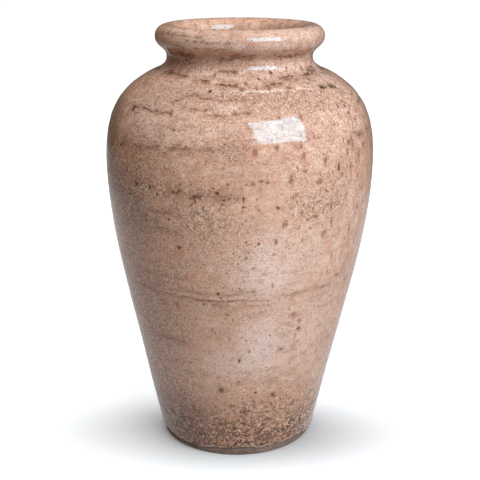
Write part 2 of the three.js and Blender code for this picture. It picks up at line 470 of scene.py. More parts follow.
SPOTS = (
    *spots_of(
        SpotKind.PIT,
        (50.0, 307.0, 4.0, 1.2, 0.4), (58.0, 306.5, 3.4, 1.5, 0.5), (-55.5, 291.8, 1.8, 1.8, 0.4),
        (42.8, 251.0, 1.2, 2.8, 0.5), (-45.5, 238.0, 2.0, 1.5, 0.5), (1.4, 233.8, 0.8, 1.8, 0.2),
        (1.6, 228.3, 1.2, 0.8, 0.2), (-8.5, 238.6, 1.3, 1.1, 0.2), (-6.0, 233.6, 0.9, 0.9, 0.2),
        (-19.0, 228.0, 0.9, 0.9, 0.2), (-57.0, 264.0, 1.2, 1.2, 0.2), (-25.5, 193.3, 2.2, 1.3, 0.5),
        (-9.2, 157.0, 1.2, 1.2, 0.5), (30.6, 120.3, 1.2, 1.6, 0.4), (152.0, 263.0, 1.8, 1.4, 0.4),
        (-126.0, 183.0, 1.4, 1.2, 0.4), (-160.0, 96.0, 1.6, 1.6, 0.5),
    ),
    *spots_of(
        SpotKind.IRON,
        (-9.5, 66.8, 1.6, 1.7, 0.4), (10.2, 64.5, 1.1, 1.0, 0.3), (21.2, 60.6, 1.6, 1.5, 0.2),
    ),
    *spots_of(
        SpotKind.SMUDGE,
        (-3.0, 319.2, 1.7, 1.5), (-17.0, 317.0, 1.2, 1.0), (-2.5, 311.0, 2.0, 0.8),
        (3.5, 312.8, 1.6, 1.0), (1.0, 308.9, 1.5, 1.0, 0.3), (9.3, 309.4, 1.0, 0.9),
        (16.0, 310.0, 0.9, 1.8), (27.0, 309.0, 1.8, 1.0), (-31.0, 292.0, 1.4, 2.0, 0.2),
        (-2.0, 294.0, 2.0, 1.2, 0.2), (3.6, 294.6, 1.8, 1.1, 0.3), (-15.0, 296.2, 1.5, 0.9),
        (31.0, 277.0, 0.9, 2.0), (50.0, 268.0, 2.0, 2.2), (59.5, 271.0, 3.2, 1.6),
        (50.0, 250.0, 0.9, 3.0), (20.0, 246.5, 1.6, 3.2), (5.0, 245.4, 1.2, 1.5), (8.0, 247.4, 2.2, 0.8),
        (10.6, 246.0, 1.4, 1.0), (32.5, 243.0, 2.8, 2.0, 0.2), (-36.0, 238.0, 1.8, 1.2),
        (31.5, 216.5, 2.6, 1.7, 0.2), (18.0, 213.0, 1.9, 1.7), (40.0, 212.5, 1.0, 1.2),
        (57.5, 215.0, 1.2, 1.8), (53.0, 198.0, 1.0, 1.6), (-23.2, 168.6, 1.0, 1.0),
        (-15.5, 147.0, 1.4, 1.0, 0.3), (-11.0, 147.2, 1.4, 0.9), (-13.0, 150.2, 0.8, 0.8),
        (2.6, 188.3, 0.9, 1.6), (14.5, 163.0, 0.7, 1.5), (42.0, 167.0, 1.2, 1.2),
        (50.5, 160.5, 2.4, 1.2), (43.2, 180.0, 0.9, 1.3), (-12.5, 124.5, 0.8, 1.7),
        (-11.2, 121.4, 0.9, 1.0, 0.2), (-4.4, 116.0, 0.8, 1.4, 0.2), (-42.0, 109.3, 1.6, 1.6),
        (-54.5, 93.5, 1.6, 1.2), (5.6, 104.8, 1.0, 1.2), (22.4, 104.0, 1.5, 1.3),
        (30.5, 128.0, 1.6, 1.6), (29.4, 111.0, 0.5, 5.0), (57.0, 101.0, 2.4, 1.1),
        (-29.0, 45.6, 1.2, 1.2), (-23.0, 40.0, 1.0, 1.4), (23.5, 15.6, 4.4, 2.4), (35.0, 15.2, 2.6, 1.6),
        (-102.0, 131.0, 1.4, 2.4), (88.0, 120.0, 1.5, 1.3),
    ),
    *spots_of(
        SpotKind.RUST,
        (6.0, 268.5, 1.7, 2.6, 0.2), (25.5, 264.0, 1.2, 2.2), (36.4, 201.5, 2.2, 3.4, 0.1),
        (-29.5, 143.5, 1.4, 2.6), (26.8, 134.6, 3.6, 1.9, 0.2), (110.0, 214.0, 2.2, 3.0, 0.2),
        (175.0, 152.0, 2.6, 1.8),
    ),
    *spots_of(
        SpotKind.PEACH,
        (-25.5, 189.5, 4.4, 3.6), (-128.0, 181.0, 3.6, 3.0),
    ),
    *spots_of(
        SpotKind.BLUSH,
        (6.2, 267.5, 3.6, 4.4), (40.0, 193.0, 3.0, 4.0), (-22.0, 169.0, 3.6, 3.2),
        (17.5, 188.5, 3.2, 4.4), (17.0, 155.0, 3.4, 2.8),
    ),
    *spots_of(
        SpotKind.HALO,
        (22.4, 104.0, 3.2, 2.4), (-9.5, 66.8, 4.6, 5.2), (-160.0, 96.0, 4.2, 4.6),
    ),
    *spots_of(
        SpotKind.PALE,
        (7.2, 102.0, 3.4, 1.6),
    ),
)

ROSE = Tone(242, 216, 206)
MAUVE = Tone(184, 146, 129)
BROWNISH = Tone(156, 115, 92)
PALE_PINK = Tone(238, 207, 190)
SANDY = Tone(230, 186, 155)
BISCUIT = Tone(214, 161, 124)
RUSSET = Tone(156, 92, 60)
TERRACOTTA = Tone(206, 130, 90)
FAWN = Tone(216, 170, 142)
# The next colour is painted shade for the left edge of the belly and shoulder.
OLIVE_SHADE = Tone(92, 71, 56)
OLIVE_GREY = Tone(126, 90, 64)
DUSTY = Tone(198, 175, 164)

DRIFTS = (
    Drift(0, 160, 78, 62, PALE_PINK, 0.15),
    Drift(-14, 170, 36, 100, FAWN, 0.55, 0.3),
    Drift(25, 343, 50, 9, ROSE, 0.20),
    Drift(-18, 346, 14, 5, BROWNISH, 0.70, 0.3),
    # Brown glaze pooled under the rim roll, partly painted shade.
    Drift(-6, 336, 24, 6, BROWNISH, 0.50, 0.3),
    Drift(48, 346, 26, 6, ROSE, 0.35),
    Drift(50, 316, 30, 9, ROSE, 0.50),
    Drift(56, 282, 20, 22, ROSE, 0.18),
    # Painted light: the pale pink drifts at azimuths -42 to -20 brighten the top of the left shoulder and
    # rim, as light from above and to the left would.
    Drift(-34, 344, 34, 9, PALE_PINK, 0.75),
    Drift(-42, 288, 20, 17, PALE_PINK, 0.90),
    Drift(-26, 270, 16, 12, PALE_PINK, 0.40),
    Drift(-2, 272, 7, 13, BROWNISH, 0.45, 0.5),
    # Painted light on the top of the left shoulder, as above.
    Drift(-20, 314, 26, 8, PALE_PINK, 0.60, 0.3),
    Drift(12, 175, 14, 28, ROSE, 0.85),
    Drift(12, 112, 14, 28, ROSE, 0.85),
    Drift(-2, 92, 22, 14, ROSE, 0.55),
    Drift(38, 112, 18, 38, PALE_PINK, 0.50),
    Drift(34, 190, 14, 20, PALE_PINK, 0.40),
    Drift(-18, 234, 22, 14, SANDY, 0.50, 0.9),
    Drift(-46, 150, 24, 36, MAUVE, 0.62),
    Drift(66, 158, 12, 44, MAUVE, 0.40),
    Drift(-46, 172, 26, 70, TERRACOTTA, 0.34, full=0.3),
    Drift(66, 160, 16, 76, TERRACOTTA, 0.34, full=0.3),
    Drift(8, 304, 46, 22, DUSTY, 0.30),
    Drift(-52, 322, 22, 9, DUSTY, 0.40),
    Drift(30, 342, 34, 10, DUSTY, 0.30),
    Drift(-52, 220, 18, 36, BROWNISH, 0.52, 0.9),
    Drift(-14, 214, 22, 24, SANDY, 0.30, 0.9),
    Drift(32, 226, 20, 18, SANDY, 0.40, 0.95),
    Drift(32, 244, 24, 14, PALE_PINK, 0.10, 0.5),
    Drift(-8, 146, 12, 8, BROWNISH, 0.25, 0.4),
    Drift(0, 306, 70, 8, BROWNISH, 0.15, 0.7),
    Drift(-35, 298, 18, 6, BROWNISH, 0.25, 0.5),
    Drift(28, 300, 22, 10, BROWNISH, 0.50, 0.5),
    # The next three: brown glaze pooled under the rim roll, partly painted shade.
    Drift(2, 327, 24, 6, BROWNISH, 0.58, 0.5),
    Drift(-24, 328, 14, 5, BROWNISH, 0.68, 0.5),
    Drift(-58, 328, 18, 10, BROWNISH, 0.60, 0.4),
    Drift(4, 343, 14, 5, BROWNISH, 0.25, 0.3),
    Drift(0, 28, 62, 26, BISCUIT, 0.85, 1.0),
    Drift(16, 46, 30, 20, BISCUIT, 0.75, 1.0),
    Drift(-36, 38, 32, 24, BROWNISH, 0.75, 0.8),
    Drift(-44, 14, 26, 12, OLIVE_GREY, 0.70),
    Drift(-50, 28, 28, 26, RUSSET, 0.45, full=0.3),
    Drift(2, 9, 60, 10, RUSSET, 0.48, 1.0, 0.3),
    Drift(68, 14, 14, 12, PALE_PINK, 0.50),
    # Painted shade: these two olive-toned drifts darken the left edge of the belly and shoulder, on the
    # shaded side.
    Drift(-76, 268, 12, 26, OLIVE_SHADE, 0.70, full=0.80),
    Drift(-75, 236, 14, 24, OLIVE_SHADE, 0.70, full=0.5),
    Drift(78, 262, 16, 34, BROWNISH, 0.45),
    # Brown glaze under the rim at the back, partly painted shade.
    Drift(150, 335, 22, 9, BROWNISH, 0.50, 0.5),
    Drift(-150, 170, 30, 40, ROSE, 0.40),
    Drift(120, 110, 30, 50, MAUVE, 0.40, 0.3),
    Drift(-110, 240, 26, 26, BROWNISH, 0.35, 0.7),
    Drift(170, 30, 110, 24, BISCUIT, 0.85, 1.0),
)

# Waves round the vase, as (waves in one round, phase in radians, size). They bend the ring lines, with a size
# in millimetres, and the edge of the glaze, with a size in shares of its wander.
LINE_WAVES = ((5, 0.0, 0.45), (13, 1.0, 0.35), (31, 2.0, 0.30))
EDGE_WAVES = ((3, 0.6, 0.40), (7, 2.0, 0.28), (17, 0.0, 0.16), (41, 0.0, 0.15), (67, 1.0, 0.125))

# Where marks end. A line fades out between two shares of its reach, and is forgotten at a third one. A pit's
# hollow fades out between two shares of its size, and a drift is gone at a share of its size.
LINE_FADE = (0.7, 1.1)
LINE_FORGOTTEN = 1.15
PIT_FADE = (0.2, 1.5)
DRIFT_END = 1.5


@dataclass(frozen=True)
class Scatter:
    """Small spots strewn by chance between the single ones.

    Attributes:
        count: How many there are.
        seed: Seed of the chance.
        heights: Lowest and highest of them.
        azimuths: Where they begin and end, round the vase.
        widths: Half the width of the smallest and of the largest.
        tallest: Largest height, as a share of the width.
        kinds: What they are. A kind that stands here twice is drawn twice as often.
    """

    count: int
    seed: int
    heights: Pair
    azimuths: Pair = (-180.0, 180.0)
    widths: Pair = (0.5, 1.0)
    tallest: float = 1.6
    kinds: tuple[SpotKind, ...] = (SpotKind.PIT, *[SpotKind.SMUDGE] * 3, SpotKind.RUST)

    def spots(self) -> list[Spot]:
        """Draws them."""
        chance = random.Random(self.seed)
        smallest, largest = self.widths
        drawn = []
        for _ in range(self.count):
            azimuth = chance.uniform(*self.azimuths)
            height = chance.uniform(*self.heights)
            kind = chance.choice(self.kinds)
            wide = smallest + (largest - smallest) * chance.random() ** 2
            tall = wide * chance.uniform(0.7, self.tallest)
            drawn.append(Spot(azimuth, height, wide, tall, kind))
        return drawn


SCATTERS = (
    Scatter(110, 12, (14.0, 346.0)),
    Scatter(70, 5, (196.0, 292.0), (14.0, 76.0), (0.5, 1.5), 2.8, (*[SpotKind.SMUDGE] * 2, SpotKind.RUST)),
    Scatter(60, 8, (196.0, 246.0), (-64.0, 8.0), (0.4, 1.3), 1.4, (*[SpotKind.SMUDGE] * 2, SpotKind.IRON)),
    Scatter(130, 3, (14.0, 78.0), (-180.0, 180.0), (0.4, 0.9), 1.5, (SpotKind.IRON, SpotKind.SMUDGE)),
    Scatter(40, 9, (292.0, 322.0), (20.0, 78.0), (0.4, 1.2), 1.6, (SpotKind.SMUDGE, SpotKind.IRON)),
)


# Outline

@dataclass(frozen=True)
class Station:
    """A place on the outline, as radius and height, with the direction in which the outline leaves it."""

    radius: float
    height: float
    heading: Pair

    def point(self) -> np.ndarray:
        """Radius and height as an array."""
        return np.array([self.radius, self.height])

    def unit(self) -> np.ndarray:
        """The heading at length 1."""
        return np.array(self.heading) / math.hypot(*self.heading)


@dataclass(frozen=True)
class Line:
    """A drawn line: its points and the normals that point out of the clay, one row each."""

    points: np.ndarray
    normals: np.ndarray

    def lengths(self) -> np.ndarray:
        """Distance along the line to each point."""
        steps = np.hypot(*np.diff(self.points, axis=0).T)
        return np.concatenate([[0.0], np.cumsum(steps)])

    def joined(self, other: Line) -> Line:
        """This line and then the other."""
        points = np.concatenate([self.points, other.points])
        return Line(points, np.concatenate([self.normals, other.normals]))

    def sunk(self, depth: float) -> Line:
        """The line moved into the clay."""
        return Line(self.points - self.normals * depth, self.normals)

    def reversed(self) -> Line:
        """The line from its end to its start."""
        return Line(self.points[::-1], self.normals[::-1])

    def kept(self, wanted: np.ndarray) -> Line:
        """The points that are wanted."""
        return Line(self.points[wanted], self.normals[wanted])

    def stepped(self, pitch: Pitch) -> Line:
        """Points along the line at steps that the pitch gives, with both ends kept."""
        lengths = self.lengths()
        places = [0.0]
        while True:
            here = self._at(np.array([places[-1]]), lengths)
            step = pitch.at(here.points[0])
            if places[-1] + 1.5 * step > lengths[-1]:
                break
            places.append(places[-1] + step)
        places.append(lengths[-1])
        return self._at(np.array(places), lengths)

    def _at(self, places: np.ndarray, lengths: np.ndarray) -> Line:
        """Reads the line at distances along it."""
        columns = [np.interp(places, lengths, self.points[:, k]) for k in (0, 1)]
        normals = [np.interp(places, lengths, self.normals[:, k]) for k in (0, 1)]
        return Line(np.stack(columns, axis=1), np.stack(normals, axis=1))


@dataclass(frozen=True)
class Pitch:
    """How close the rows of a mesh are: close near ring lines, on neck and rim, and wide apart elsewhere."""

    wall: float
    neck: float
    ring: float
    rings: tuple[float, ...] = ()
    neck_from: float = 306.0
    ring_reach: float = 3.2

    def at(self, point: np.ndarray) -> float:
        """The row step at a place on the outline."""
        if any(abs(point[1] - ring) < self.ring_reach for ring in self.rings):
            return self.ring
        return self.neck if point[1] > self.neck_from else self.wall


@dataclass(frozen=True)
class Template:
    """The outline that the potter throws to, with the glaze on it.

    Each fullness says how far a curve keeps its direction at its lower and its upper end, as a share of the
    straight way between them.
    """

    foot_radius: float = 66.0
    cone_top_radius: float = 87.5
    cone_top_height: float = 99.0
    belly_radius: float = 109.7
    belly_height: float = 242.5
    shoulder_radius: float = 82.0
    shoulder_height: float = 307.0
    shoulder_slope: float = 34.0
    waist_radius: float = 58.7
    waist_height: float = 324.7
    rim_radius: float = 67.9
    rim_height: float = 340.9
    crest_radius: float = 58.7
    crest_height: float = 350.0
    lip_depth: float = 11.0
    wall: float = 9.8
    belly_fullness: Pair = (0.25, 0.36)
    shoulder_fullness: Pair = (0.46, 0.34)
    neck_fullness: Pair = (0.55, 0.3)
    undercut_fullness: Pair = (0.43, 0.47)
    roll_fullness: Pair = (0.46, 0.28)
    lip_fullness: Pair = (0.35, 0.5)
    samples: int = 160

    def swell(self, start: Station, end: Station, fullness: Pair) -> Line:
        """A smooth curve between two stations, without its first point."""
        chord = float(np.hypot(*(end.point() - start.point())))
        corners = [
            start.point(),
            start.point() + start.unit() * chord * fullness[0],
            end.point() - end.unit() * chord * fullness[1],
            end.point(),
        ]
        along = np.linspace(0, 1, self.samples + 1)[1:, None]
        back = 1 - along
        points = (
            back**3 * corners[0]
            + 3 * back**2 * along * corners[1]
            + 3 * back * along**2 * corners[2]
            + along**3 * corners[3]
        )
        headings = (
            back**2 * (corners[1] - corners[0])
            + 2 * back * along * (corners[2] - corners[1])
            + along**2 * (corners[3] - corners[2])
        )
        headings /= np.hypot(headings[:, 0], headings[:, 1])[:, None]
        return Line(points, np.stack([headings[:, 1], -headings[:, 0]], axis=1))

    def cone_heading(self) -> Pair:
        """Direction of the straight lower wall."""
        return (self.cone_top_radius - self.foot_radius, self.cone_top_height)

    def outside(self, start_height: float) -> Line:
        """The visible outside from a height on the straight lower wall to the top of the rim."""
        slope = math.radians(self.shoulder_slope)
        cone = self.cone_heading()
        cone_top = Station(self.cone_top_radius, self.cone_top_height, cone)
        belly = Station(self.belly_radius, self.belly_height, (0, 1))
        shoulder = Station(self.shoulder_radius, self.shoulder_height, (-math.cos(slope), math.sin(slope)))
        waist = Station(self.waist_radius, self.waist_height, (0, 1))
        rim = Station(self.rim_radius, self.rim_height, (0, 1))
        crest = Station(self.crest_radius, self.crest_height, (-1, 0))
        start_radius = self.foot_radius + start_height * cone[0] / cone[1]
        normal = np.array([cone[1], -cone[0]]) / math.hypot(*cone)
        points = np.array([[start_radius, start_height], [self.cone_top_radius, self.cone_top_height]])
        line = Line(points, np.stack([normal, normal]))
        line = line.joined(self.swell(cone_top, belly, self.belly_fullness))
        line = line.joined(self.swell(belly, shoulder, self.shoulder_fullness))
        line = line.joined(self.swell(shoulder, waist, self.neck_fullness))
        line = line.joined(self.swell(waist, rim, self.undercut_fullness))
        return line.joined(self.swell(rim, crest, self.roll_fullness))

    def lip(self) -> Line:
        """The inner lip, from the top of the rim down the throat to the glaze seam."""
        crest = Station(self.crest_radius, self.crest_height, (-1, 0))
        throat = Station(self.waist_radius - self.wall, self.crest_height - self.lip_depth, (0, -1))
        return self.swell(crest, throat, self.lip_fullness).joined(self.seam())

    def seam(self) -> Line:
        """The one place in the throat where the outer glaze meets the lining."""
        return Line(np.array([[self.waist_radius - self.wall, self.waist_height]]), np.array([[-1.0, 0.0]]))

    def inside(self, floor_height: float, fillet: float) -> Line:
        """The lining, from the glaze seam down the wall to the middle of the floor."""
        outer = self.outside(0.0)
        rows = (outer.points[:, 1] <= self.waist_height) & (outer.points[:, 1] >= self.cone_top_height)
        rows &= np.arange(len(rows)) > 0
        wall = outer.kept(rows).reversed()
        inner = Line(wall.points - wall.normals * self.wall, -wall.normals)
        down = -np.array(self.cone_heading()) / math.hypot(*self.cone_heading())
        foot = inner.points[-1]
        corner = foot + down * (foot[1] - floor_height) / -down[1]
        along = np.linspace(0, 1, self.samples)[:, None]
        starts = corner - down * fillet
        ends = corner + np.array([-fillet, 0.0])
        points = (1 - along) ** 2 * starts + 2 * (1 - along) * along * corner + along**2 * ends
        turns = (1 - along) * down + along * np.array([-1.0, 0.0])
        turns /= np.hypot(turns[:, 0], turns[:, 1])[:, None]
        bend = Line(points, np.stack([turns[:, 1], -turns[:, 0]], axis=1))
        middle = Line(np.array([[0.0, floor_height]]), np.array([[0.0, 1.0]]))
        return inner.joined(bend).joined(middle)


# Meshes

def lean(height: np.ndarray) -> np.ndarray:
    """How far the pot has settled to one side at a height: nothing above the belly, most at the foot."""
    settled_below = 200.0
    most = -2.4
    return most * np.clip(1 - height / settled_below, 0, 1)


def azimuth_of(points: np.ndarray) -> np.ndarray:
    """Azimuth in radians of points in a mesh."""
    return np.arctan2(points[:, 0], -points[:, 1])


def radius_of(points: np.ndarray) -> np.ndarray:
    """Distance of points from the axis of the vase."""
    return np.hypot(points[:, 0], points[:, 1])


def pushed_out(points: np.ndarray, normals: np.ndarray, relief: np.ndarray) -> np.ndarray:
    """Gives a turned surface its hand-made relief and the pot's lean.

    Args:
        points: Places in millimetres, one row each.
        normals: How far each place faces outward and how far upward.
        relief: How far each place moves that way, in millimetres.

    Returns:
        The moved places.
    """
    azimuth = azimuth_of(points)
    moved = points.copy()
    moved[:, 0] += relief * normals[:, 0] * np.sin(azimuth) + lean(points[:, 2])
    moved[:, 1] -= relief * normals[:, 0] * np.cos(azimuth)
    moved[:, 2] += relief * normals[:, 1]
    return moved


def soft_noise(points: np.ndarray, size: Triple, seed: float) -> np.ndarray:
    """Smooth noise at each point.

    Args:
        points: Places in millimetres, one row each.
        size: The size of a lump on each axis, in millimetres.
        seed: Moves the noise, so that two calls differ.

    Returns:
        Numbers between -1 and 1.
    """
    scaled = points / np.array(size) + seed
    return np.array([noise.noise(Vector(row)) for row in scaled])


def deselect_all() -> None:
    """Leaves object mode with nothing selected."""
    if bpy.context.object and bpy.context.object.mode != "OBJECT":
        bpy.ops.object.mode_set(mode="OBJECT")
    bpy.ops.object.select_all(action="DESELECT")


def choose(piece: bpy.types.Object) -> None:
    """Makes one object the only selected one."""
    deselect_all()
    piece.select_set(True)
    bpy.context.view_layer.objects.active = piece


def read_points(piece: bpy.types.Object) -> np.ndarray:
    """The mesh's points in millimetres."""
    flat = np.empty(len(piece.data.vertices) * 3, dtype=np.float32)
    piece.data.vertices.foreach_get("co", flat)
    return flat.reshape(-1, 3).astype(np.float64) / MM


def write_points(piece: bpy.types.Object, points: np.ndarray) -> None:
    """Moves the mesh's points, given in millimetres."""
    piece.data.vertices.foreach_set("co", (points * MM).astype(np.float32).ravel())
    piece.data.update()


def weld(piece: bpy.types.Object, outward: bool = False) -> None:
    """Makes one point of those that lie in one place and, if asked, turns every face outward."""
    choose(piece)
    bpy.ops.object.mode_set(mode="EDIT")
    bpy.ops.mesh.select_all(action="SELECT")
    bpy.ops.mesh.remove_doubles(threshold=WELD_DISTANCE)
    if outward:
        bpy.ops.mesh.normals_make_consistent(inside=False)
    bpy.ops.object.mode_set(mode="OBJECT")


@dataclass(frozen=True)
class Wheel:
    """The potter's wheel, which turns a drawn profile into a closed mesh."""

    steps: int
    row_name: str = "row"
    sharp_angle: float = 50.0

    def draw(self, name: str, profile: np.ndarray) -> bpy.types.Object:
        """Makes a ring of points and lays it on the profile, in the plane of X and Z."""
        deselect_all()
        bpy.ops.mesh.primitive_circle_add(vertices=len(profile), radius=MM, fill_type="NOTHING")
        piece = bpy.context.object
        piece.name = name
        piece.data.name = name
        flat = np.zeros((len(profile), 3))
        flat[:, 0] = profile[:, 0]
        flat[:, 2] = profile[:, 1]
        write_points(piece, flat)
        rows = piece.data.attributes.new(self.row_name, "INT", "POINT")
        rows.data.foreach_set("value", list(range(len(profile))))
        if profile[0, 0] == 0 and profile[-1, 0] == 0:
            self._open(piece, len(profile) - 1)
        return piece

    def _open(self, piece: bpy.types.Object, last: int) -> None:
        """Takes out the edge that joins the last point to the first."""
        bpy.ops.object.mode_set(mode="EDIT")
        bpy.ops.mesh.select_mode(type="EDGE")
        bpy.ops.mesh.select_all(action="DESELECT")
        bpy.ops.object.mode_set(mode="OBJECT")
        for edge in piece.data.edges:
            edge.select = set(edge.vertices) == {0, last}
        bpy.ops.object.mode_set(mode="EDIT")
        bpy.ops.mesh.delete(type="EDGE")
        bpy.ops.mesh.select_mode(type="VERT")
        bpy.ops.object.mode_set(mode="OBJECT")

    def turn(self, name: str, profile: np.ndarray) -> bpy.types.Object:
        """Turns a profile one full round.

        Args:
            name: The piece's name.
            profile: Radius and height of its points, in millimetres. Where it doesn't run from axis to axis,
                its last point is joined to its first.

        Returns:
            The closed mesh, with each point's place on the profile in its row attribute.
        """
        piece = self.draw(name, profile)
        turn = piece.modifiers.new("turn", "SCREW")
        turn.angle = FULL_TURN
        turn.steps = self.steps
        turn.render_steps = self.steps
        turn.use_merge_vertices = True
        turn.merge_threshold = WELD_DISTANCE
        choose(piece)
        bpy.ops.object.modifier_apply(modifier=turn.name)
        weld(piece, outward=True)
        return piece

    def rows_of(self, piece: bpy.types.Object) -> np.ndarray:
        """Place on the profile of each point."""
        found = np.empty(len(piece.data.vertices), dtype=np.int32)
        piece.data.attributes[self.row_name].data.foreach_get("value", found)
        return found

    def finish(self, piece: bpy.types.Object) -> None:
        """Drops the row marks and shades the mesh smooth, but for its sharp edges."""
        piece.data.attributes.remove(piece.data.attributes[self.row_name])
        choose(piece)
        bpy.ops.object.shade_smooth_by_angle(angle=math.radians(self.sharp_angle))


def settle(piece: bpy.types.Object, node: str, material: bpy.types.Material) -> None:
    """Puts a finished piece in the frame.

    Args:
        piece: The piece, in its place.
        node: The CAD node that it stands for.
        material: Its finish.
    """
    piece.data.materials.clear()
    piece.data.materials.append(material)
    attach(piece, BODY)
    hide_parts(node)
    logger.info("%s stands for %s with %d faces", piece.name, node, len(piece.data.polygons))


def waves(table: tuple[Triple, ...], azimuth: np.ndarray) -> np.ndarray:
    """Sum of waves round the vase at azimuths in radians."""
    return sum(size * np.sin(turns * azimuth + phase) for turns, phase, size in table)


def line_height(line: ThrowingLine, azimuth: np.ndarray) -> np.ndarray:
    """Height of a ring line at azimuths in radians."""
    straight = line.height + line.tilt * (np.degrees(azimuth) - line.middle) / 10
    return straight + waves(LINE_WAVES, azimuth)


def fade(distance: np.ndarray, inner: float, outer: float) -> np.ndarray:
    """1 up to the inner distance, then smoothly down to 0 at the outer one."""
    share = np.clip((outer - distance) / (outer - inner), 0, 1)
    return share * share * (3 - 2 * share)


def around(azimuth: np.ndarray, middle: float) -> np.ndarray:
    """Degrees from azimuths in radians to a middle, the short way round."""
    return np.abs((np.degrees(azimuth) - middle + 180) % 360 - 180)


@dataclass(frozen=True)
class FaceCorners:
    """Where the corners of the coat's four-sided faces lie, one row of four numbers for each face."""

    azimuth: np.ndarray
    height: np.ndarray
    radius: np.ndarray

    def beside(self, azimuth: float, chosen: np.ndarray) -> np.ndarray:
        """Radians from an azimuth in degrees to the corners of the chosen faces, the short way round."""
        corners = self.azimuth[chosen]
        middle = corners.mean(axis=1, keepdims=True)
        short = (middle - math.radians(azimuth) + math.pi) % FULL_TURN - math.pi
        return short + corners - middle


def face_corners(mesh: bpy.types.Mesh, points: np.ndarray) -> FaceCorners:
    """Reads where the corners of a mesh of four-sided faces lie."""
    order = np.empty(len(mesh.loops), dtype=np.int32)
    mesh.loops.foreach_get("vertex_index", order)
    faces = order.reshape(-1, 4)
    azimuth = azimuth_of(points)[faces]
    turned = (azimuth - azimuth[:, :1] + math.pi) % FULL_TURN - math.pi
    return FaceCorners(azimuth[:, :1] + turned, points[:, 2][faces], radius_of(points)[faces])


@dataclass(frozen=True)
class MarkSheet:
    """Notes on each face of the coat which ring line and which spots are nearest to it.

    The finish then draws every mark from these few attributes, however many marks there are.

    Attributes:
        mesh: The coat's mesh.
        corners: Where the corners of its faces lie.
        window: How far above or below itself a mark is noted, in millimetres.
        wander: How much further a ring line is, because it tilts and waves.
        nothing: The distance that is noted where no mark is near.
        blank: The grey that is noted there.
    """

    mesh: bpy.types.Mesh
    corners: FaceCorners
    window: float = 9.0
    wander: float = 4.0
    nothing: float = 9.0
    blank: float = 0.2

    def near(self, height: float, window: float) -> np.ndarray:
        """Numbers of the faces that are no further than a window above or below a height."""
        return np.flatnonzero(np.abs(self.corners.height[:, 0] - height) < window)

    def note(self, name: str, values: np.ndarray) -> None:
        """Writes three numbers for each corner."""
        attribute = self.mesh.attributes.new(name, "FLOAT_VECTOR", "CORNER")
        attribute.data.foreach_set("vector", values.astype(np.float32).ravel())

    def lines(self, lines: tuple[ThrowingLine, ...]) -> None:
        """Notes the nearest ring line: widths from its middle, how strong it is there, and how broken."""
        noted = np.full((len(self.corners.height), 4, 3), (self.nothing, 0.0, 0.5))
        best = np.full(len(noted), self.nothing)
        for line in lines:
            near = self.near(line.height, self.window + self.wander)
            beside = np.degrees(np.abs(self.corners.beside(line.middle, near)))
            across = (self.corners.height[near] - line_height(line, self.corners.azimuth[near])) / line.width
            score = np.abs(across.mean(axis=1))
            score[beside.mean(axis=1) > line.reach * LINE_FORGOTTEN] = math.inf
            nearer = score < best[near]
            chosen = near[nearer]
            best[chosen] = score[nearer]
            noted[chosen, :, 0] = across[nearer]
            noted[chosen, :, 1] = line.stain * fade(beside[nearer] / line.reach, *LINE_FADE)
            noted[chosen, :, 2] = line.breaks
        self.note("line", noted)

    def spots(self, name: str, spots: list[Spot]) -> None:
        """Notes the nearest spot: how many of its sizes away from its middle, its strength and its colour."""
        noted = np.full((len(self.corners.height), 4, 3), (self.nothing, self.nothing, 0.0))
        tones = np.full_like(noted, self.blank)
        best = np.full(len(noted), self.nothing)
        for spot in spots:
            near = self.near(spot.height, self.window + 2 * spot.tall)
            sideways = self.corners.beside(spot.azimuth, near) * self.corners.radius[near] / spot.wide
            upwards = (self.corners.height[near] - spot.height) / spot.tall
            score = np.hypot(sideways.mean(axis=1), upwards.mean(axis=1))
            nearer = score < best[near]
            chosen = near[nearer]
            best[chosen] = score[nearer]
            noted[chosen, :, 0] = sideways[nearer]
            noted[chosen, :, 1] = upwards[nearer]
            noted[chosen, :, 2] = spot.kind.value.strength
            tones[chosen] = spot.kind.value.tone.light()[:3]
        self.note(name, noted)
        self.note(name + "_tone", tones)

    def drifts(self, drifts: tuple[Drift, ...]) -> None:
        """Notes the colour of the drifts laid over each other, how much of it there is, and the speckle."""
        every = np.arange(len(self.corners.height))
        tones = np.full((len(every), 4, 3), self.blank)
        shares = np.zeros((len(every), 4, 1))
        speckled = np.zeros((len(every), 4))
        for drift in drifts:
            sideways = np.degrees(self.corners.beside(drift.azimuth, every)) / drift.wide
            upwards = (self.corners.height - drift.height) / drift.tall
            cover = fade(np.hypot(sideways, upwards), drift.full, DRIFT_END)
            speckled = np.maximum(speckled, drift.speckled * cover)
            share = (drift.strength * cover)[..., None]
            kept = shares * (1 - share)
            total = kept + share
            tone = np.array(drift.tone.light()[:3])
            tones = np.where(total > 0, (tones * kept + tone * share) / np.maximum(total, 1e-6), tones)
            shares = total
        self.note("drift_tone", tones)
        self.note("drift", np.stack([shares[..., 0], speckled, speckled], axis=2))


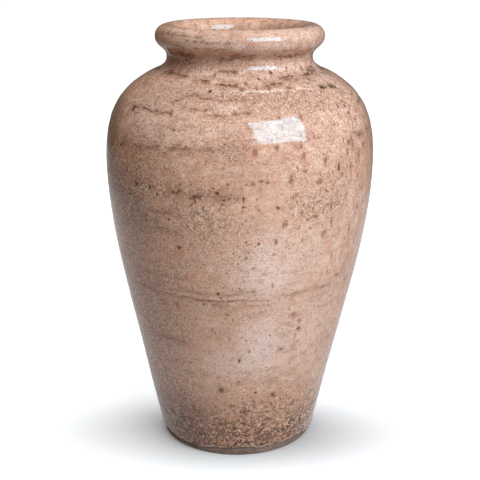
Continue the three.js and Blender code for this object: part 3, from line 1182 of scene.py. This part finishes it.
@dataclass(frozen=True)
class GlazeCoat:
    """The outer glaze: a thick skin over wall, neck and rim, with the marks of the throwing hand."""

    template: Template
    edge_height: float = 7.13
    thickness: float = 0.8
    steps: int = 320
    pitch: Pitch = Pitch(2.05, 1.1, 0.85, (292.5, 236.5, 154.0, 150.0))
    bonded_pitch: Pitch = Pitch(22.0, 4.0, 22.0)
    ripple: float = 0.07
    ripple_spacing: float = 11.0
    broad_lump: float = 0.25
    broad_lump_size: Triple = (70, 70, 45)
    small_lump: float = 0.05
    small_lump_size: Triple = (13, 13, 8)
    deepest: float = 0.7
    edge_wander: float = 2.4
    edge_rise: float = 0.25
    edge_zone: float = 26.0
    edge_bead: float = 0.35
    bead_full: float = 1.0
    bead_end: float = 6.0

    def build(self, material: bpy.types.Material) -> None:
        """Makes the skin."""
        skin = self.template.outside(self.edge_height).joined(self.template.lip())
        visible = skin.stepped(self.pitch)
        bonded = skin.sunk(self.thickness).reversed().stepped(self.bonded_pitch)
        loop = visible.joined(bonded)
        wheel = Wheel(self.steps)
        piece = wheel.turn("glaze_coat", loop.points)
        points = read_points(piece)
        self._mark(piece, points)
        rows = wheel.rows_of(piece)
        plain = rows >= len(visible.points) - 1
        write_points(piece, self._worked(points, loop.normals[rows], plain))
        wheel.finish(piece)
        settle(piece, "outer_glaze", material)

    def _mark(self, piece: bpy.types.Object, points: np.ndarray) -> None:
        """Notes the marks on the skin, while it is still smooth."""
        sheet = MarkSheet(piece.data, face_corners(piece.data, points))
        spots = [*SPOTS]
        for scatter in SCATTERS:
            spots += scatter.spots()
        sheet.lines(THROWING_LINES)
        sheet.spots("spot", [spot for spot in spots if not spot.kind.value.soft])
        sheet.spots("flush", [spot for spot in spots if spot.kind.value.soft])
        sheet.drifts(DRIFTS)
        above = piece.data.attributes.new("above_edge", "FLOAT", "POINT")
        above.data.foreach_set("value", (points[:, 2] - self.edge_height).astype(np.float32))

    def _worked(self, points: np.ndarray, normals: np.ndarray, plain: np.ndarray) -> np.ndarray:
        """Gives the skin its hand-made surface, and the glaze its run edge.

        Args:
            points: Places in millimetres, one row each.
            normals: How far each place faces outward and how far upward.
            plain: Which places have no marks, because they are bonded to the clay.

        Returns:
            The moved places, leaning with the pot.
        """
        azimuth = azimuth_of(points)
        relief = np.maximum(self._relief(points, azimuth), -self.deepest)
        relief[plain] = 0.0
        worked = pushed_out(points, normals, relief)
        edge = self.edge_wander * (self.edge_rise + waves(EDGE_WAVES, azimuth))
        worked[:, 2] += edge * fade(points[:, 2], self.edge_height, self.edge_zone)
        return worked

    def _relief(self, points: np.ndarray, azimuth: np.ndarray) -> np.ndarray:
        """Height of the worked surface over the true one."""
        height = points[:, 2]
        drawn = 1.2 * np.sin(azimuth + 0.4) + 0.8 * np.sin(2 * azimuth)
        phase = FULL_TURN * height / self.ripple_spacing + drawn
        relief = self.ripple * np.sin(phase) * (0.6 + 0.4 * np.sin(height / 37.0))
        relief += self.broad_lump * soft_noise(points, self.broad_lump_size, seed=3.1)
        relief += self.small_lump * soft_noise(points, self.small_lump_size, seed=9.7)
        relief += self.edge_bead * fade(height - self.edge_height, self.bead_full, self.bead_end)
        for line in THROWING_LINES:
            across = np.abs(height - line_height(line, azimuth))
            along = fade(around(azimuth, line.middle) / line.reach, *LINE_FADE)
            relief -= line.depth * fade(across, 0.0, line.width * 2.0) * along
        for spot in (spot for spot in SPOTS if spot.depth > 0):
            sideways = np.radians(around(azimuth, spot.azimuth)) * radius_of(points) / spot.wide
            upwards = (height - spot.height) / spot.tall
            relief -= spot.depth * fade(np.hypot(sideways, upwards), *PIT_FADE)
        return relief


@dataclass(frozen=True)
class Lining:
    """The lining glaze, which follows the inside of the clay from the glaze seam to the floor's middle."""

    template: Template
    floor_height: float
    fillet: float = 15.0
    thickness: float = 0.8
    steps: int = 192
    pitch: Pitch = Pitch(4.0, 1.6, 4.0)
    bonded_pitch: Pitch = Pitch(18.0, 5.0, 18.0)
    ripple: float = 0.3
    ripple_spacing: float = 8.5
    lump: float = 0.25
    lump_size: Triple = (40, 40, 30)
    seam_zone: float = 12.0
    still_middle: float = 1.0

    def build(self, material: bpy.types.Material) -> None:
        """Makes the lining."""
        skin = self.template.inside(self.floor_height, self.fillet)
        visible = skin.stepped(self.pitch)
        bonded = skin.sunk(self.thickness).reversed().stepped(self.bonded_pitch)
        loop = bonded.joined(self.template.seam()).joined(visible)
        wheel = Wheel(self.steps)
        piece = wheel.turn("glaze_lining", loop.points)
        rows = wheel.rows_of(piece)
        points = read_points(piece)
        height = points[:, 2]
        phase = FULL_TURN * height / self.ripple_spacing + azimuth_of(points)
        below_seam = fade(height, self.template.waist_height - self.seam_zone, self.template.waist_height)
        relief = np.where(rows > len(bonded.points), self.ripple * (np.sin(phase) - 1) * below_seam, 0.0)
        relief += self.lump * soft_noise(points, self.lump_size, seed=5.5) * below_seam
        relief[radius_of(points) < self.still_middle] = 0.0
        write_points(piece, pushed_out(points, loop.normals[rows], relief))
        wheel.finish(piece)
        settle(piece, "lining_glaze", material)


@dataclass(frozen=True)
class BareFoot:
    """The turned base: a recessed underside, the bare foot ring, and the tongue and floor under the glaze."""

    recess_depth: float = 3.0
    recess_radius: float = 50.4
    ring_inner: float = 54.4
    ring_outer: float = 64.4
    edge_break: float = 0.6
    floor_bevel: float = 8.0
    pitch: float = 2.2
    steps: int = 320
    sharp_angle: float = 35.0
    roughness: float = 0.12
    coarse_grain: Triple = (5, 5, 3)
    fine_grain: Triple = (2.2, 2.2, 1.5)
    smooth_top: float = 0.5
    smooth_sole: float = 0.1
    ring_inset: float = 1.0

    def build(self, material: bpy.types.Material) -> None:
        """Makes the base around the sizes of its CAD node."""
        band_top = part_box("lower_wall")[0].z / MM
        tongue_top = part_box("base_disc")[1].z / MM
        tongue_inner, tongue_outer = ring_radii("base_disc", tongue_top)
        floor_height = floor_of("base_disc")
        band_radius = ring_radii("base_disc", band_top)[1]
        corners = [
            (0.0, self.recess_depth),
            (self.recess_radius, self.recess_depth),
            (self.ring_inner, 0.0),
            (self.ring_outer, 0.0),
            (self.ring_outer + self.edge_break, self.edge_break),
            (band_radius, band_top),
            (tongue_outer, band_top),
            (tongue_outer, tongue_top),
            (tongue_inner, tongue_top),
            (tongue_inner - self.floor_bevel, floor_height),
            (0.0, floor_height),
        ]
        wheel = Wheel(self.steps, sharp_angle=self.sharp_angle)
        piece = wheel.turn("bare_foot", subdivided(corners, self.pitch))
        points = read_points(piece)
        height = points[:, 2]
        rough = self.roughness * soft_noise(points, self.coarse_grain, seed=2.2)
        rough += self.roughness * soft_noise(points, self.fine_grain, seed=7.7)
        rough[height > band_top - self.smooth_top] = 0.0
        outward = radius_of(points) > self.ring_outer - self.ring_inset
        normals = np.stack([outward, height > self.smooth_sole], axis=1).astype(float)
        write_points(piece, pushed_out(points, normals, rough))
        wheel.finish(piece)
        settle(piece, "base_disc", material)


def subdivided(corners: list[Pair], step: float) -> np.ndarray:
    """Points no further apart than a step along straight runs between corners."""
    points = [np.array(corners[0])]
    for start, end in zip(corners, corners[1:]):
        start_point = np.array(start)
        run = np.array(end) - start_point
        count = max(1, round(float(np.hypot(*run)) / step))
        points.extend(start_point + run * (k + 1) / count for k in range(count))
    return np.array(points)


def ring_radii(node: str, height: float, tolerance: float = 0.05) -> Pair:
    """Smallest and largest radius of a CAD node at a height."""
    points = read_points(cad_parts[node])
    radii = radius_of(points[np.abs(points[:, 2] - height) < tolerance])
    return float(radii.min()), float(radii.max())


def floor_of(node: str, reach: float = 0.5) -> float:
    """Height of the floor of a CAD node at its middle, the higher of its two faces there."""
    points = read_points(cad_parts[node])
    return float(points[radius_of(points) < reach, 2].max())


@dataclass(frozen=True)
class ClayRings:
    """The thrown rings of clay between outer glaze and lining. The lower ones lean with the pot."""

    leaning: tuple[str, ...] = ("lower_wall", "middle_wall", "belly_wall")
    upright: tuple[str, ...] = ("shoulder_wall", "upper_shoulder", "neck_collar", "rim_roll")
    sharp_angle: float = 35.0

    def build(self, material: bpy.types.Material) -> None:
        """Dresses the upright rings and makes leaning copies of the others."""
        for node in self.upright:
            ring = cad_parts[node]
            ring.data.materials.clear()
            ring.data.materials.append(material)
            logger.info("%s keeps its CAD shape", node)
        for node in self.leaning:
            self._leaning_copy(node, material)

    def _leaning_copy(self, node: str, material: bpy.types.Material) -> None:
        """Makes the ring again from its CAD shape, with the pot's lean."""
        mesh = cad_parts[node].data.copy()
        piece = bpy.data.objects.new(node + "_clay", mesh)
        bpy.context.scene.collection.objects.link(piece)
        weld(piece)
        points = read_points(piece)
        points[:, 0] += lean(points[:, 2])
        write_points(piece, points)
        bpy.ops.object.shade_smooth_by_angle(angle=math.radians(self.sharp_angle))
        settle(piece, node, material)


# Finishes of the pieces

@dataclass(frozen=True)
class ClayFinish:
    """Unglazed fired clay: matt grey-brown with pink and dark flecks."""

    ground: Tone = Tone(146, 131, 118)
    grey: Tone = Tone(118, 107, 97)
    pink: Tone = Tone(190, 142, 122)
    dark: Tone = Tone(66, 55, 48)

    def make(self) -> bpy.types.Material:
        """Writes the material."""
        material, recipe = new_recipe("bare_clay")
        place = recipe.place()
        flat = recipe.squeezed(place, 6.0)
        patches = recipe.cloud(place, 16.0, 3.0, 0.6)
        streaks = recipe.cloud(flat, 9.0, 3.0, 0.65)
        grains = recipe.cloud(place, 1.3, 2.0, 0.6)
        colour = recipe.blend(patches.ease(0.35, 0.65), self.ground, self.grey)
        colour = recipe.blend(streaks.ease(0.53, 0.64) * 0.85, colour, self.pink)
        colour = recipe.blend(grains.ease(0.6, 0.72) * 0.7, colour, self.dark)
        height = streaks * 0.3 + grains * 0.25
        recipe.surface({"Specular IOR Level": 0.3}, colour, 0.8 + 0.15 * patches, height)
        return material


@dataclass(frozen=True)
class LiningFinish:
    """The glaze inside: pinkish brown, darker and smoother than outside, with painted shade on the side that
    the rim shades.
    """

    ground: Tone = Tone(176, 148, 132)
    brown: Tone = Tone(120, 94, 78)
    pale: Tone = Tone(204, 180, 164)
    umber: Tone = Tone(70, 54, 44)
    painted_shade_side: float = 2.3

    def make(self) -> bpy.types.Material:
        """Writes the material."""
        material, recipe = new_recipe("lining_glaze")
        place = recipe.place()
        flat = recipe.squeezed(place, 2.0)
        patches = recipe.cloud(flat, 24.0, 3.0, 0.6)
        mottle = recipe.cloud(flat, 3.5, 3.0, 0.6)
        specks = recipe.cloud(place, 2.0, 1.0, 0.5)
        # Painted shade: the side of the lining that the rim keeps from the lamp is made browner and darker.
        side = (recipe.azimuth(place) - self.painted_shade_side).cosine()
        shaded = (patches + side * 0.12).ease(0.38, 0.7)
        colour = recipe.blend(shaded, self.ground, self.brown)
        colour = recipe.blend(mottle.ease(0.5, 0.7) * 0.5, colour, self.pale)
        dark = (mottle + side * 0.10).ease(0.56, 0.66)
        colour = recipe.blend(dark * 0.8, colour, self.umber)
        colour = recipe.blend(specks.ease(0.66, 0.74), colour, self.brown)
        height = mottle * 0.12 + patches * 0.2
        recipe.surface({"IOR": 1.54}, colour, 0.05 + 0.10 * mottle, height)
        return material


class GlazeField:
    """Where a point of the glaze is, and the noises that several steps of its recipe share."""

    def __init__(self, recipe: Recipe) -> None:
        """Adds them to the recipe."""
        self.recipe = recipe
        self.place = recipe.place()
        self.height = recipe.split(self.place)[2] / MM
        self.azimuth = recipe.azimuth(self.place)
        self.grain = recipe.cloud(self.place, 1.25, 1.0, 0.6)
        self.ragged = recipe.cloud(self.place, 2.6, 2.0, 0.6)
        self.blots = recipe.cloud(recipe.squeezed(self.place, 1.5), 9.0, 2.0, 0.55)
        self.patches = recipe.cloud(self.place, 46.0, 3.0, 0.55)
        self.streaks = recipe.cloud(recipe.squeezed(self.place, 3.0), 13.0, 3.0, 0.6)
        self.dashes = recipe.cloud(recipe.squeezed(self.place, 3.0), 4.6, 3.0, 0.7)
        self.drips = recipe.cloud(recipe.squeezed(self.place, 0.28), 3.6, 2.0, 0.6)
        self.share, self.speckled, _ = recipe.split(recipe.attribute("drift"))


@dataclass(frozen=True)
class CoatFinish:
    """The outer glaze: dusty pink over speckled clay, milky where thick, brown where it broke or pooled, with
    painted light and shade in places.
    """

    pink: Tone = Tone(217, 180, 160)
    peach: Tone = Tone(222, 176, 147)
    fawn: Tone = Tone(216, 170, 143)
    amber: Tone = Tone(222, 163, 120)
    mauve: Tone = Tone(196, 156, 137)
    rose: Tone = Tone(234, 206, 194)
    cream: Tone = Tone(240, 216, 199)
    chalk: Tone = Tone(240, 221, 207)
    tan: Tone = Tone(166, 121, 97)
    rust: Tone = Tone(190, 122, 86)
    brown: Tone = Tone(110, 71, 51)
    umber: Tone = Tone(72, 49, 37)
    mauve_side: float = 0.9
    grain_size: float = 0.85

    def make(self) -> bpy.types.Material:
        """Writes the material."""
        material, recipe = new_recipe("outer_glaze")
        field = GlazeField(recipe)
        pins = self._pins(field)
        colour = self._ground(field)
        colour = self._mottle(field, colour)
        colour = self._grain(field, colour)
        colour = self._speckle(field, colour)
        colour = recipe.blend(pins.least(1.0), colour, self.brown)
        colour = self._worms(field, colour)
        colour, stain = self._lines(field, colour)
        colour = self._edge(field, colour)
        colour = self._spots(field, colour)
        lively = 1.0 + 3.5 * field.speckled
        relief = (0.022 * field.ragged + 0.020 * field.grain) * lively + 0.06 * field.blots - 0.06 * pins
        roughness = 0.02 + 0.02 * field.blots + 0.25 * pins + 0.2 * stain + 0.07 * field.speckled
        recipe.surface({"IOR": 1.56}, colour, roughness, relief)
        return material

    def _ground(self, field: GlazeField) -> Socket:
        """Broad changes of colour: peach to the left, mauve to the right, and the drifts."""
        recipe = field.recipe
        side = (field.azimuth - self.mauve_side).cosine()
        warm = (side * -0.14 + field.patches).ease(0.42, 0.72)
        low = field.height.ease(292.0, 240.0)
        colour = recipe.blend(low * 0.6, self.pink, self.fawn)
        colour = recipe.blend(warm, colour, self.peach)
        cool = (side * 0.06 + recipe.cloud(field.place, 30.0, 3.0, 0.6)).ease(0.48, 0.66)
        colour = recipe.blend(cool * 0.6, colour, self.mauve)
        tone = recipe.attribute("drift_tone")
        uneven = field.share * (0.65 + 0.7 * field.blots)
        return recipe.blend(uneven.least(1.0), colour, tone)

    def _mottle(self, field: GlazeField, colour: Colour) -> Socket:
        """Milky and tan blotches, level streaks high up, and drips on the right."""
        recipe = field.recipe
        colour = recipe.blend(field.blots.ease(0.52, 0.68) * 0.45, colour, self.cream)
        colour = recipe.blend(field.blots.ease(0.47, 0.30) * 0.40, colour, self.tan)
        high = field.height.ease(225.0, 300.0)
        rim = field.height.ease(340.0, 333.0)
        broad = field.streaks.ease(0.50, 0.66) * high * (0.15 + 0.35 * rim)
        colour = recipe.blend(broad, colour, self.tan)
        colour = recipe.blend(field.dashes.ease(0.52, 0.68) * (0.15 + 0.35 * high), colour, self.tan)
        ember = recipe.cloud(recipe.shifted(field.place, (0.4, 0.1, 0.7)), 7.0, 2.0, 0.55)
        colour = recipe.blend(ember.ease(0.58, 0.70) * 0.30, colour, self.amber)
        beside = abs(field.azimuth).ease(0.45, 1.0)
        return recipe.blend(field.drips.ease(0.50, 0.64) * beside * 0.62, colour, self.tan)

    def _grain(self, field: GlazeField, colour: Colour) -> Socket:
        """The sandy grain of the glaze: chalky where it is light and tan where it is dark."""
        recipe = field.recipe
        sand = recipe.value(recipe.cells(field.place, self.grain_size).outputs["Color"])
        below = 0.15 + 0.85 * field.height.ease(290.0, 235.0) + 0.2 * field.height.ease(210.0, 130.0)
        # Painted shade: the grain is stronger low on the left side, partly the glaze's own roughness and
        # partly the shading of its fine relief under grazing light.
        left = field.azimuth.ease(-0.2, -1.0) * field.azimuth.ease(-3.1, -2.1) * below
        calm = field.height.ease(326.0, 336.0) * 0.45
        right = field.azimuth.ease(-1.0, 0.2) * field.azimuth.ease(3.1, 2.1)
        high = field.height.ease(245.0, 285.0) * right * 0.3
        busy = 0.64 + 0.3 * field.speckled + 0.8 * left + high + (field.patches - 0.5) * 1.2 - calm
        fine = (sand - 0.5) * 1.7 + (field.grain - 0.5) * 0.8 + (field.ragged - 0.5) * 0.6
        fine = fine * busy.most(0.45)
        colour = recipe.blend(fine.ease(0.05, 0.65) * (0.40 + 0.15 * left), colour, self.chalk)
        colour = recipe.blend(fine.ease(0.08, -0.50) * (0.52 + 0.25 * left), colour, self.tan)
        worn = fine.ease(-0.10, -0.50) * (0.12 + 0.30 * left + 0.22 * field.speckled)
        colour = recipe.blend(worn, colour, self.brown)
        # Pale chalk flecks in the glaze, partly a painted glint where it is rough.
        scattered = recipe.shifted(field.place, (0.05, 0.02, 0.04))
        chips_and_glints = recipe.dots(scattered, 3.0, 0.66 - 0.3 * field.speckled, 0.9)
        return recipe.blend(chips_and_glints * (0.24 + 0.15 * left + 0.3 * field.speckled), colour, self.chalk)

    def _speckle(self, field: GlazeField, colour: Colour) -> Socket:
        """Small brown and rust-coloured specks, thickest where the patches say so."""
        recipe = field.recipe
        crowd = field.speckled + (field.patches - 0.5) * 1.2 + (field.blots - 0.5) * 1.2
        specks = field.ragged * 0.5 + field.grain * 0.5 + crowd * 0.06
        colour = recipe.blend(specks.ease(0.56, 0.68) * (0.18 + 0.30 * field.speckled), colour, self.brown)
        flecks = recipe.dots(recipe.shifted(field.place, (0.03, 0.05, 0.02)), 6.5, 0.45, 0.5)
        return recipe.blend(flecks * 0.45, colour, self.rust)

    def _pins(self, field: GlazeField) -> Value:
        """Pinholes and iron specks, more of them near the foot."""
        recipe = field.recipe
        small = recipe.dots(field.place, 2.4, 0.68 - 0.20 * field.speckled, 1.1) * 0.85
        large = recipe.dots(field.place, 5.5, 0.62 - 0.16 * field.speckled, 0.5)
        return small.most(large * (0.6 + 0.2 * field.speckled))

    def _worms(self, field: GlazeField, colour: Colour) -> Socket:
        """The dark broken net over the foot, and a thinner one where the glaze is rough higher up, with a
        painted glint beside each hole.
        """
        recipe = field.recipe
        foot = (field.height + (field.streaks - 0.5) * 60.0).ease(68.0, 18.0).most(field.speckled * 0.42)
        ridge = abs(recipe.cloud(field.place, 4.8, 2.0, 0.6) - 0.5)
        thin = (foot * 1.4 + (field.blots - 0.5) * 1.6 - 0.25).most(0.0).least(1.0)
        ridge = ridge + (field.grain - 0.5) * 0.12
        net = ridge.ease(0.090, 0.015) * thin
        deep = ridge.ease(0.050, -0.010) * thin * foot
        holes = recipe.dots(recipe.shifted(field.place, (0.02, 0.01, 0.0)), 4.2, 0.34, 0.85) * thin * 0.90
        # Painted highlight: cream dots just above the holes stand for the glint on their rims.
        painted_glints = recipe.dots(recipe.shifted(field.place, (0.02, 0.01, 0.0015)), 4.2, 0.44, 0.7) * thin * 0.50
        colour = recipe.blend(painted_glints, colour, self.cream)
        colour = recipe.blend(net * 0.92, colour, self.brown)
        colour = recipe.blend(deep * 0.75, colour, self.umber)
        return recipe.blend(holes, colour, self.umber)

    def _lines(self, field: GlazeField, colour: Colour) -> tuple[Socket, Value]:
        """Dark glaze gathered in the ring lines, partly painted shade under the rim, and milky glaze with a
        painted highlight on raised ones.
        """
        recipe = field.recipe
        across, strength, breaks = recipe.split(recipe.attribute("line"))
        bent = abs(across + (field.blots - 0.5) * 3.4 + (field.grain - 0.5) * 1.5)
        whole = (field.streaks - breaks).ease(-0.10, 0.08)
        torn = (field.dashes - 0.5) * 3.4 + (field.grain - 0.5) * 1.5
        core = (bent.ease(2.4, 0.0) + torn).ease(0.60, 0.95) * whole
        glow = (bent.ease(6.0, 0.5) + torn * 0.6).ease(0.2, 1.1)
        # The dark of a line is pooled glaze, and under the rim partly painted shade; a pale line's chalk is
        # milky glaze and a painted highlight along its ridge.
        stain = strength.most(0.0)
        milky = (0.0 - strength).most(0.0)
        colour = recipe.blend(glow * stain * 0.75, colour, self.tan)
        colour = recipe.blend(core * milky, colour, self.chalk)
        colour = recipe.blend(core * stain * 0.95, colour, self.brown)
        dark = core * stain * (field.ragged * 0.5 + field.grain * 0.5).ease(0.42, 0.56)
        return recipe.blend(dark, colour, self.umber), core * stain

    def _edge(self, field: GlazeField, colour: Colour) -> Socket:
        """The last millimetre of the glaze, pale and thin, where it stops above the bare foot."""
        recipe = field.recipe
        above = recipe.value(recipe.attribute("above_edge", "Fac")) + (field.ragged - 0.5) * 2.0
        thin = above.ease(1.8, 0.7) * field.streaks.ease(0.40, 0.55)
        return recipe.blend(thin * 0.5, colour, self.rose)

    def _spots(self, field: GlazeField, colour: Colour) -> Socket:
        """The single spots, soft ones first. Fray, blur and stain say how their edges look."""
        recipe = field.recipe
        for name, fray, blur, stain in (("flush", 2.0, 0.7, 0.0), ("spot", 2.6, 0.45, 0.45)):
            sideways, upwards, strength = recipe.split(recipe.attribute(name))
            apart = (sideways * sideways + upwards * upwards).root()
            frayed = apart + (field.ragged - 0.5) * fray + (field.grain - 0.5) * 1.8
            colour = recipe.blend(frayed.ease(2.6, 0.6) * stain * strength, colour, self.tan)
            mask = frayed.ease(1.0 + blur, 1.0 - blur) * strength
            colour = recipe.blend(mask, colour, recipe.attribute(name + "_tone"))
        return colour


# Studio

@dataclass(frozen=True)
class Softbox:
    """The one large lamp, in front and to the right of the vase.

    Its bluish face shows in the glaze, and hangs just before the warmer cloth that its light falls through.
    """

    azimuth: float = 36.6
    elevation: float = 35.2
    distance: float = 1.2
    width: float = 0.86
    height: float = 0.71
    roll: float = -1.0
    power: float = 16.6
    cloth: Triple = (0.93, 0.99, 1.05)
    face: Triple = (0.39, 0.80, 1.01)
    gap: float = 0.01
    aim: Triple = (0.0, 0.0, 0.22)

    def hang(self) -> None:
        """Adds the lamp twice: once for what it lights and once for what mirrors it."""
        self._half("softbox_light", self.cloth, self.distance).visible_glossy = False
        self._half("softbox_face", self.face, self.distance - self.gap).visible_diffuse = False

    def _half(self, name: str, colour: Triple, distance: float) -> bpy.types.Object:
        """Adds one of the two."""
        data = bpy.data.lights.new(name, "AREA")
        data.shape = "RECTANGLE"
        data.size = self.width
        data.size_y = self.height
        data.energy = self.power
        data.color = colour
        return hang_lamp(data, direction(self.azimuth, self.elevation), distance, self.aim, self.roll)


@dataclass(frozen=True)
class FillLamp:
    """A weak lamp that shows in no reflection."""

    name: str
    azimuth: float
    elevation: float
    power: float
    distance: float = 1.6
    side: float = 1.0
    aim: Triple = (0.0, 0.0, 0.18)

    def hang(self) -> None:
        """Adds the lamp."""
        data = bpy.data.lights.new(self.name, "AREA")
        data.shape = "SQUARE"
        data.size = self.side
        data.energy = self.power
        lamp = hang_lamp(data, direction(self.azimuth, self.elevation), self.distance, self.aim)
        lamp.visible_glossy = False


def direction(azimuth: float, elevation: float) -> Vector:
    """Unit vector from the vase towards an azimuth and elevation in degrees."""
    side = math.radians(azimuth)
    up = math.radians(elevation)
    return Vector((math.sin(side) * math.cos(up), -math.cos(side) * math.cos(up), math.sin(up)))


def hang_lamp(
    data: bpy.types.Light, towards: Vector, distance: float, aim: Triple, roll: float = 0.0
) -> bpy.types.Object:
    """Hangs a lamp so that it faces a place on the vase.

    Args:
        data: The lamp.
        towards: Unit vector from the vase to it.
        distance: How far away it is, in metres.
        aim: The place that it faces.
        roll: Turn about its own axis, in degrees.

    Returns:
        The lamp's object.
    """
    lamp = bpy.data.objects.new(data.name, data)
    bpy.context.scene.collection.objects.link(lamp)
    turn = (-towards).to_track_quat("-Z", "Y") @ Quaternion((0, 0, 1), math.radians(roll))
    lamp.matrix_world = Matrix.Translation(Vector(aim) + towards * distance) @ turn.to_matrix().to_4x4()
    return lamp


@dataclass(frozen=True)
class Surroundings:
    """White floor and backdrop, with a soft fill from a room that is dim overhead."""

    fill: Light = (0.238, 0.172, 0.124, 1.0)
    overhead: Light = (0.12, 0.105, 0.09, 1.0)
    backdrop: Light = (0.5, 0.49, 0.48, 1.0)
    backdrop_low: float = -0.40
    backdrop_high: float = -0.10
    floor_radius: float = 9.0
    floor_corners: int = 96
    floor_drop: float = 0.0002
    floor_albedo: Light = (0.38, 0.38, 0.38, 1.0)
    floor_lift: Light = (0.955, 1.0, 1.033, 1.0)
    floor_glow: float = 0.57
    glossy_glow: float = 0.32
    glossy_near: float = 0.55
    glossy_far: float = 1.05
    shade_reach: float = 0.16
    shade_power: float = 1.45
    shade_centre: Triple = (-0.008, -0.026, 0.0)
    shade_size: Pair = (0.250, 0.090)
    shade_solid: float = 0.20
    shade_inner: float = 0.72
    shade_outer: float = 2.0
    shade_samples: int = 8

    def build(self) -> None:
        """Makes the world and the floor."""
        self._world()
        self._floor()

    def _world(self) -> None:
        """White for the camera. Reflections see a pale backdrop low down and a dim room overhead."""
        world = bpy.data.worlds.new("room")
        bpy.context.scene.world = world
        world.use_nodes = True
        recipe = Recipe(world.node_tree)
        camera, seen = recipe.rays()
        rise = recipe.split(recipe.node("ShaderNodeTexCoord", {}, {}).outputs["Generated"])[2]
        high = rise.ease(self.backdrop_low, self.backdrop_high)
        mirrored = recipe.blend(high, self.backdrop, self.overhead)
        colour = recipe.blend(seen, self.fill, mirrored)
        colour = recipe.blend(camera, colour, (1.0, 1.0, 1.0, 1.0))
        shader = recipe.node("ShaderNodeBackground", {}, {"Color": colour, "Strength": 1.0})
        recipe.node("ShaderNodeOutputWorld", {}, {"Surface": shader.outputs[0]})

    def _floor(self) -> None:
        """A white floor that keeps the shadow round the foot."""
        deselect_all()
        bpy.ops.mesh.primitive_circle_add(
            vertices=self.floor_corners,
            radius=self.floor_radius,
            fill_type="NGON",
            location=(0, 0, -self.floor_drop),
        )
        floor = bpy.context.object
        floor.name = "studio_floor"
        bpy.ops.object.transform_apply(location=True, rotation=False, scale=False)
        material, recipe = new_recipe("floor_white")
        place = recipe.place()
        across = recipe.shifted(place, tuple(-part for part in self.shade_centre))
        away = recipe.length(recipe.scaled(across, (1 / self.shade_size[0], 1 / self.shade_size[1], 0.0)))
        far = away.ease(self.shade_solid, 1.0) * self.shade_inner
        far = far + away.ease(1.0, self.shade_outer) * (1.0 - self.shade_inner)
        camera, seen = recipe.rays()
        settings = {"samples": self.shade_samples}
        sky = recipe.node("ShaderNodeAmbientOcclusion", settings, {"Distance": self.shade_reach})
        open_sky = recipe.value(sky.outputs["AO"])
        open_sky = recipe.math("POWER", open_sky, self.shade_power)
        bright = open_sky * self.floor_glow * (1 - far) + far
        near = recipe.length(place).ease(self.glossy_far, self.glossy_near)
        strength = camera * bright + seen * near * self.glossy_glow
        matt = recipe.node("ShaderNodeBsdfDiffuse", {}, {"Color": self.floor_albedo})
        lift = recipe.node("ShaderNodeEmission", {}, {"Color": self.floor_lift, "Strength": strength})
        both = recipe.node("ShaderNodeAddShader", {}, {0: matt.outputs[0], 1: lift.outputs[0]})
        recipe.node("ShaderNodeOutputMaterial", {}, {"Surface": both.outputs[0]})
        floor.data.materials.append(material)


@dataclass(frozen=True)
class Viewpoint:
    """The camera of the photograph: in front of the vase, above it, looking slightly down."""

    distance: float = 0.7862
    height: float = 0.4157
    sideways: float = 0.0002
    down: float = 0.304
    lens: float = 72.49
    sensor: float = 36.0

    def place(self) -> None:
        """Adds the camera and makes it the scene's."""
        data = bpy.data.cameras.new("photo_view")
        data.lens = self.lens
        data.sensor_width = self.sensor
        camera = bpy.data.objects.new("photo_view", data)
        bpy.context.scene.collection.objects.link(camera)
        camera.location = (self.sideways, -self.distance, self.height)
        camera.rotation_euler = (math.pi / 2 - self.down, 0.0, 0.0)
        bpy.context.scene.camera = camera


def main() -> None:
    """Builds the vase and its studio in order."""
    logging.basicConfig(level=logging.INFO, format="%(name)s: %(message)s")
    bpy.context.scene.view_settings.view_transform = "Standard"
    template = Template()
    clay = ClayFinish().make()
    floor_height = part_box("lining_glaze")[0].z / MM + GlazeCoat(template).thickness
    BareFoot().build(clay)
    ClayRings().build(clay)
    Lining(template, floor_height).build(LiningFinish().make())
    GlazeCoat(template).build(CoatFinish().make())
    Surroundings().build()
    Softbox().hang()
    FillLamp("back_lamp", azimuth=195.0, elevation=30.0, power=9.0).hang()
    FillLamp("top_lamp", azimuth=-70.0, elevation=80.0, power=6.0).hang()
    Viewpoint().place()


if __name__ == "__main__":
    main()
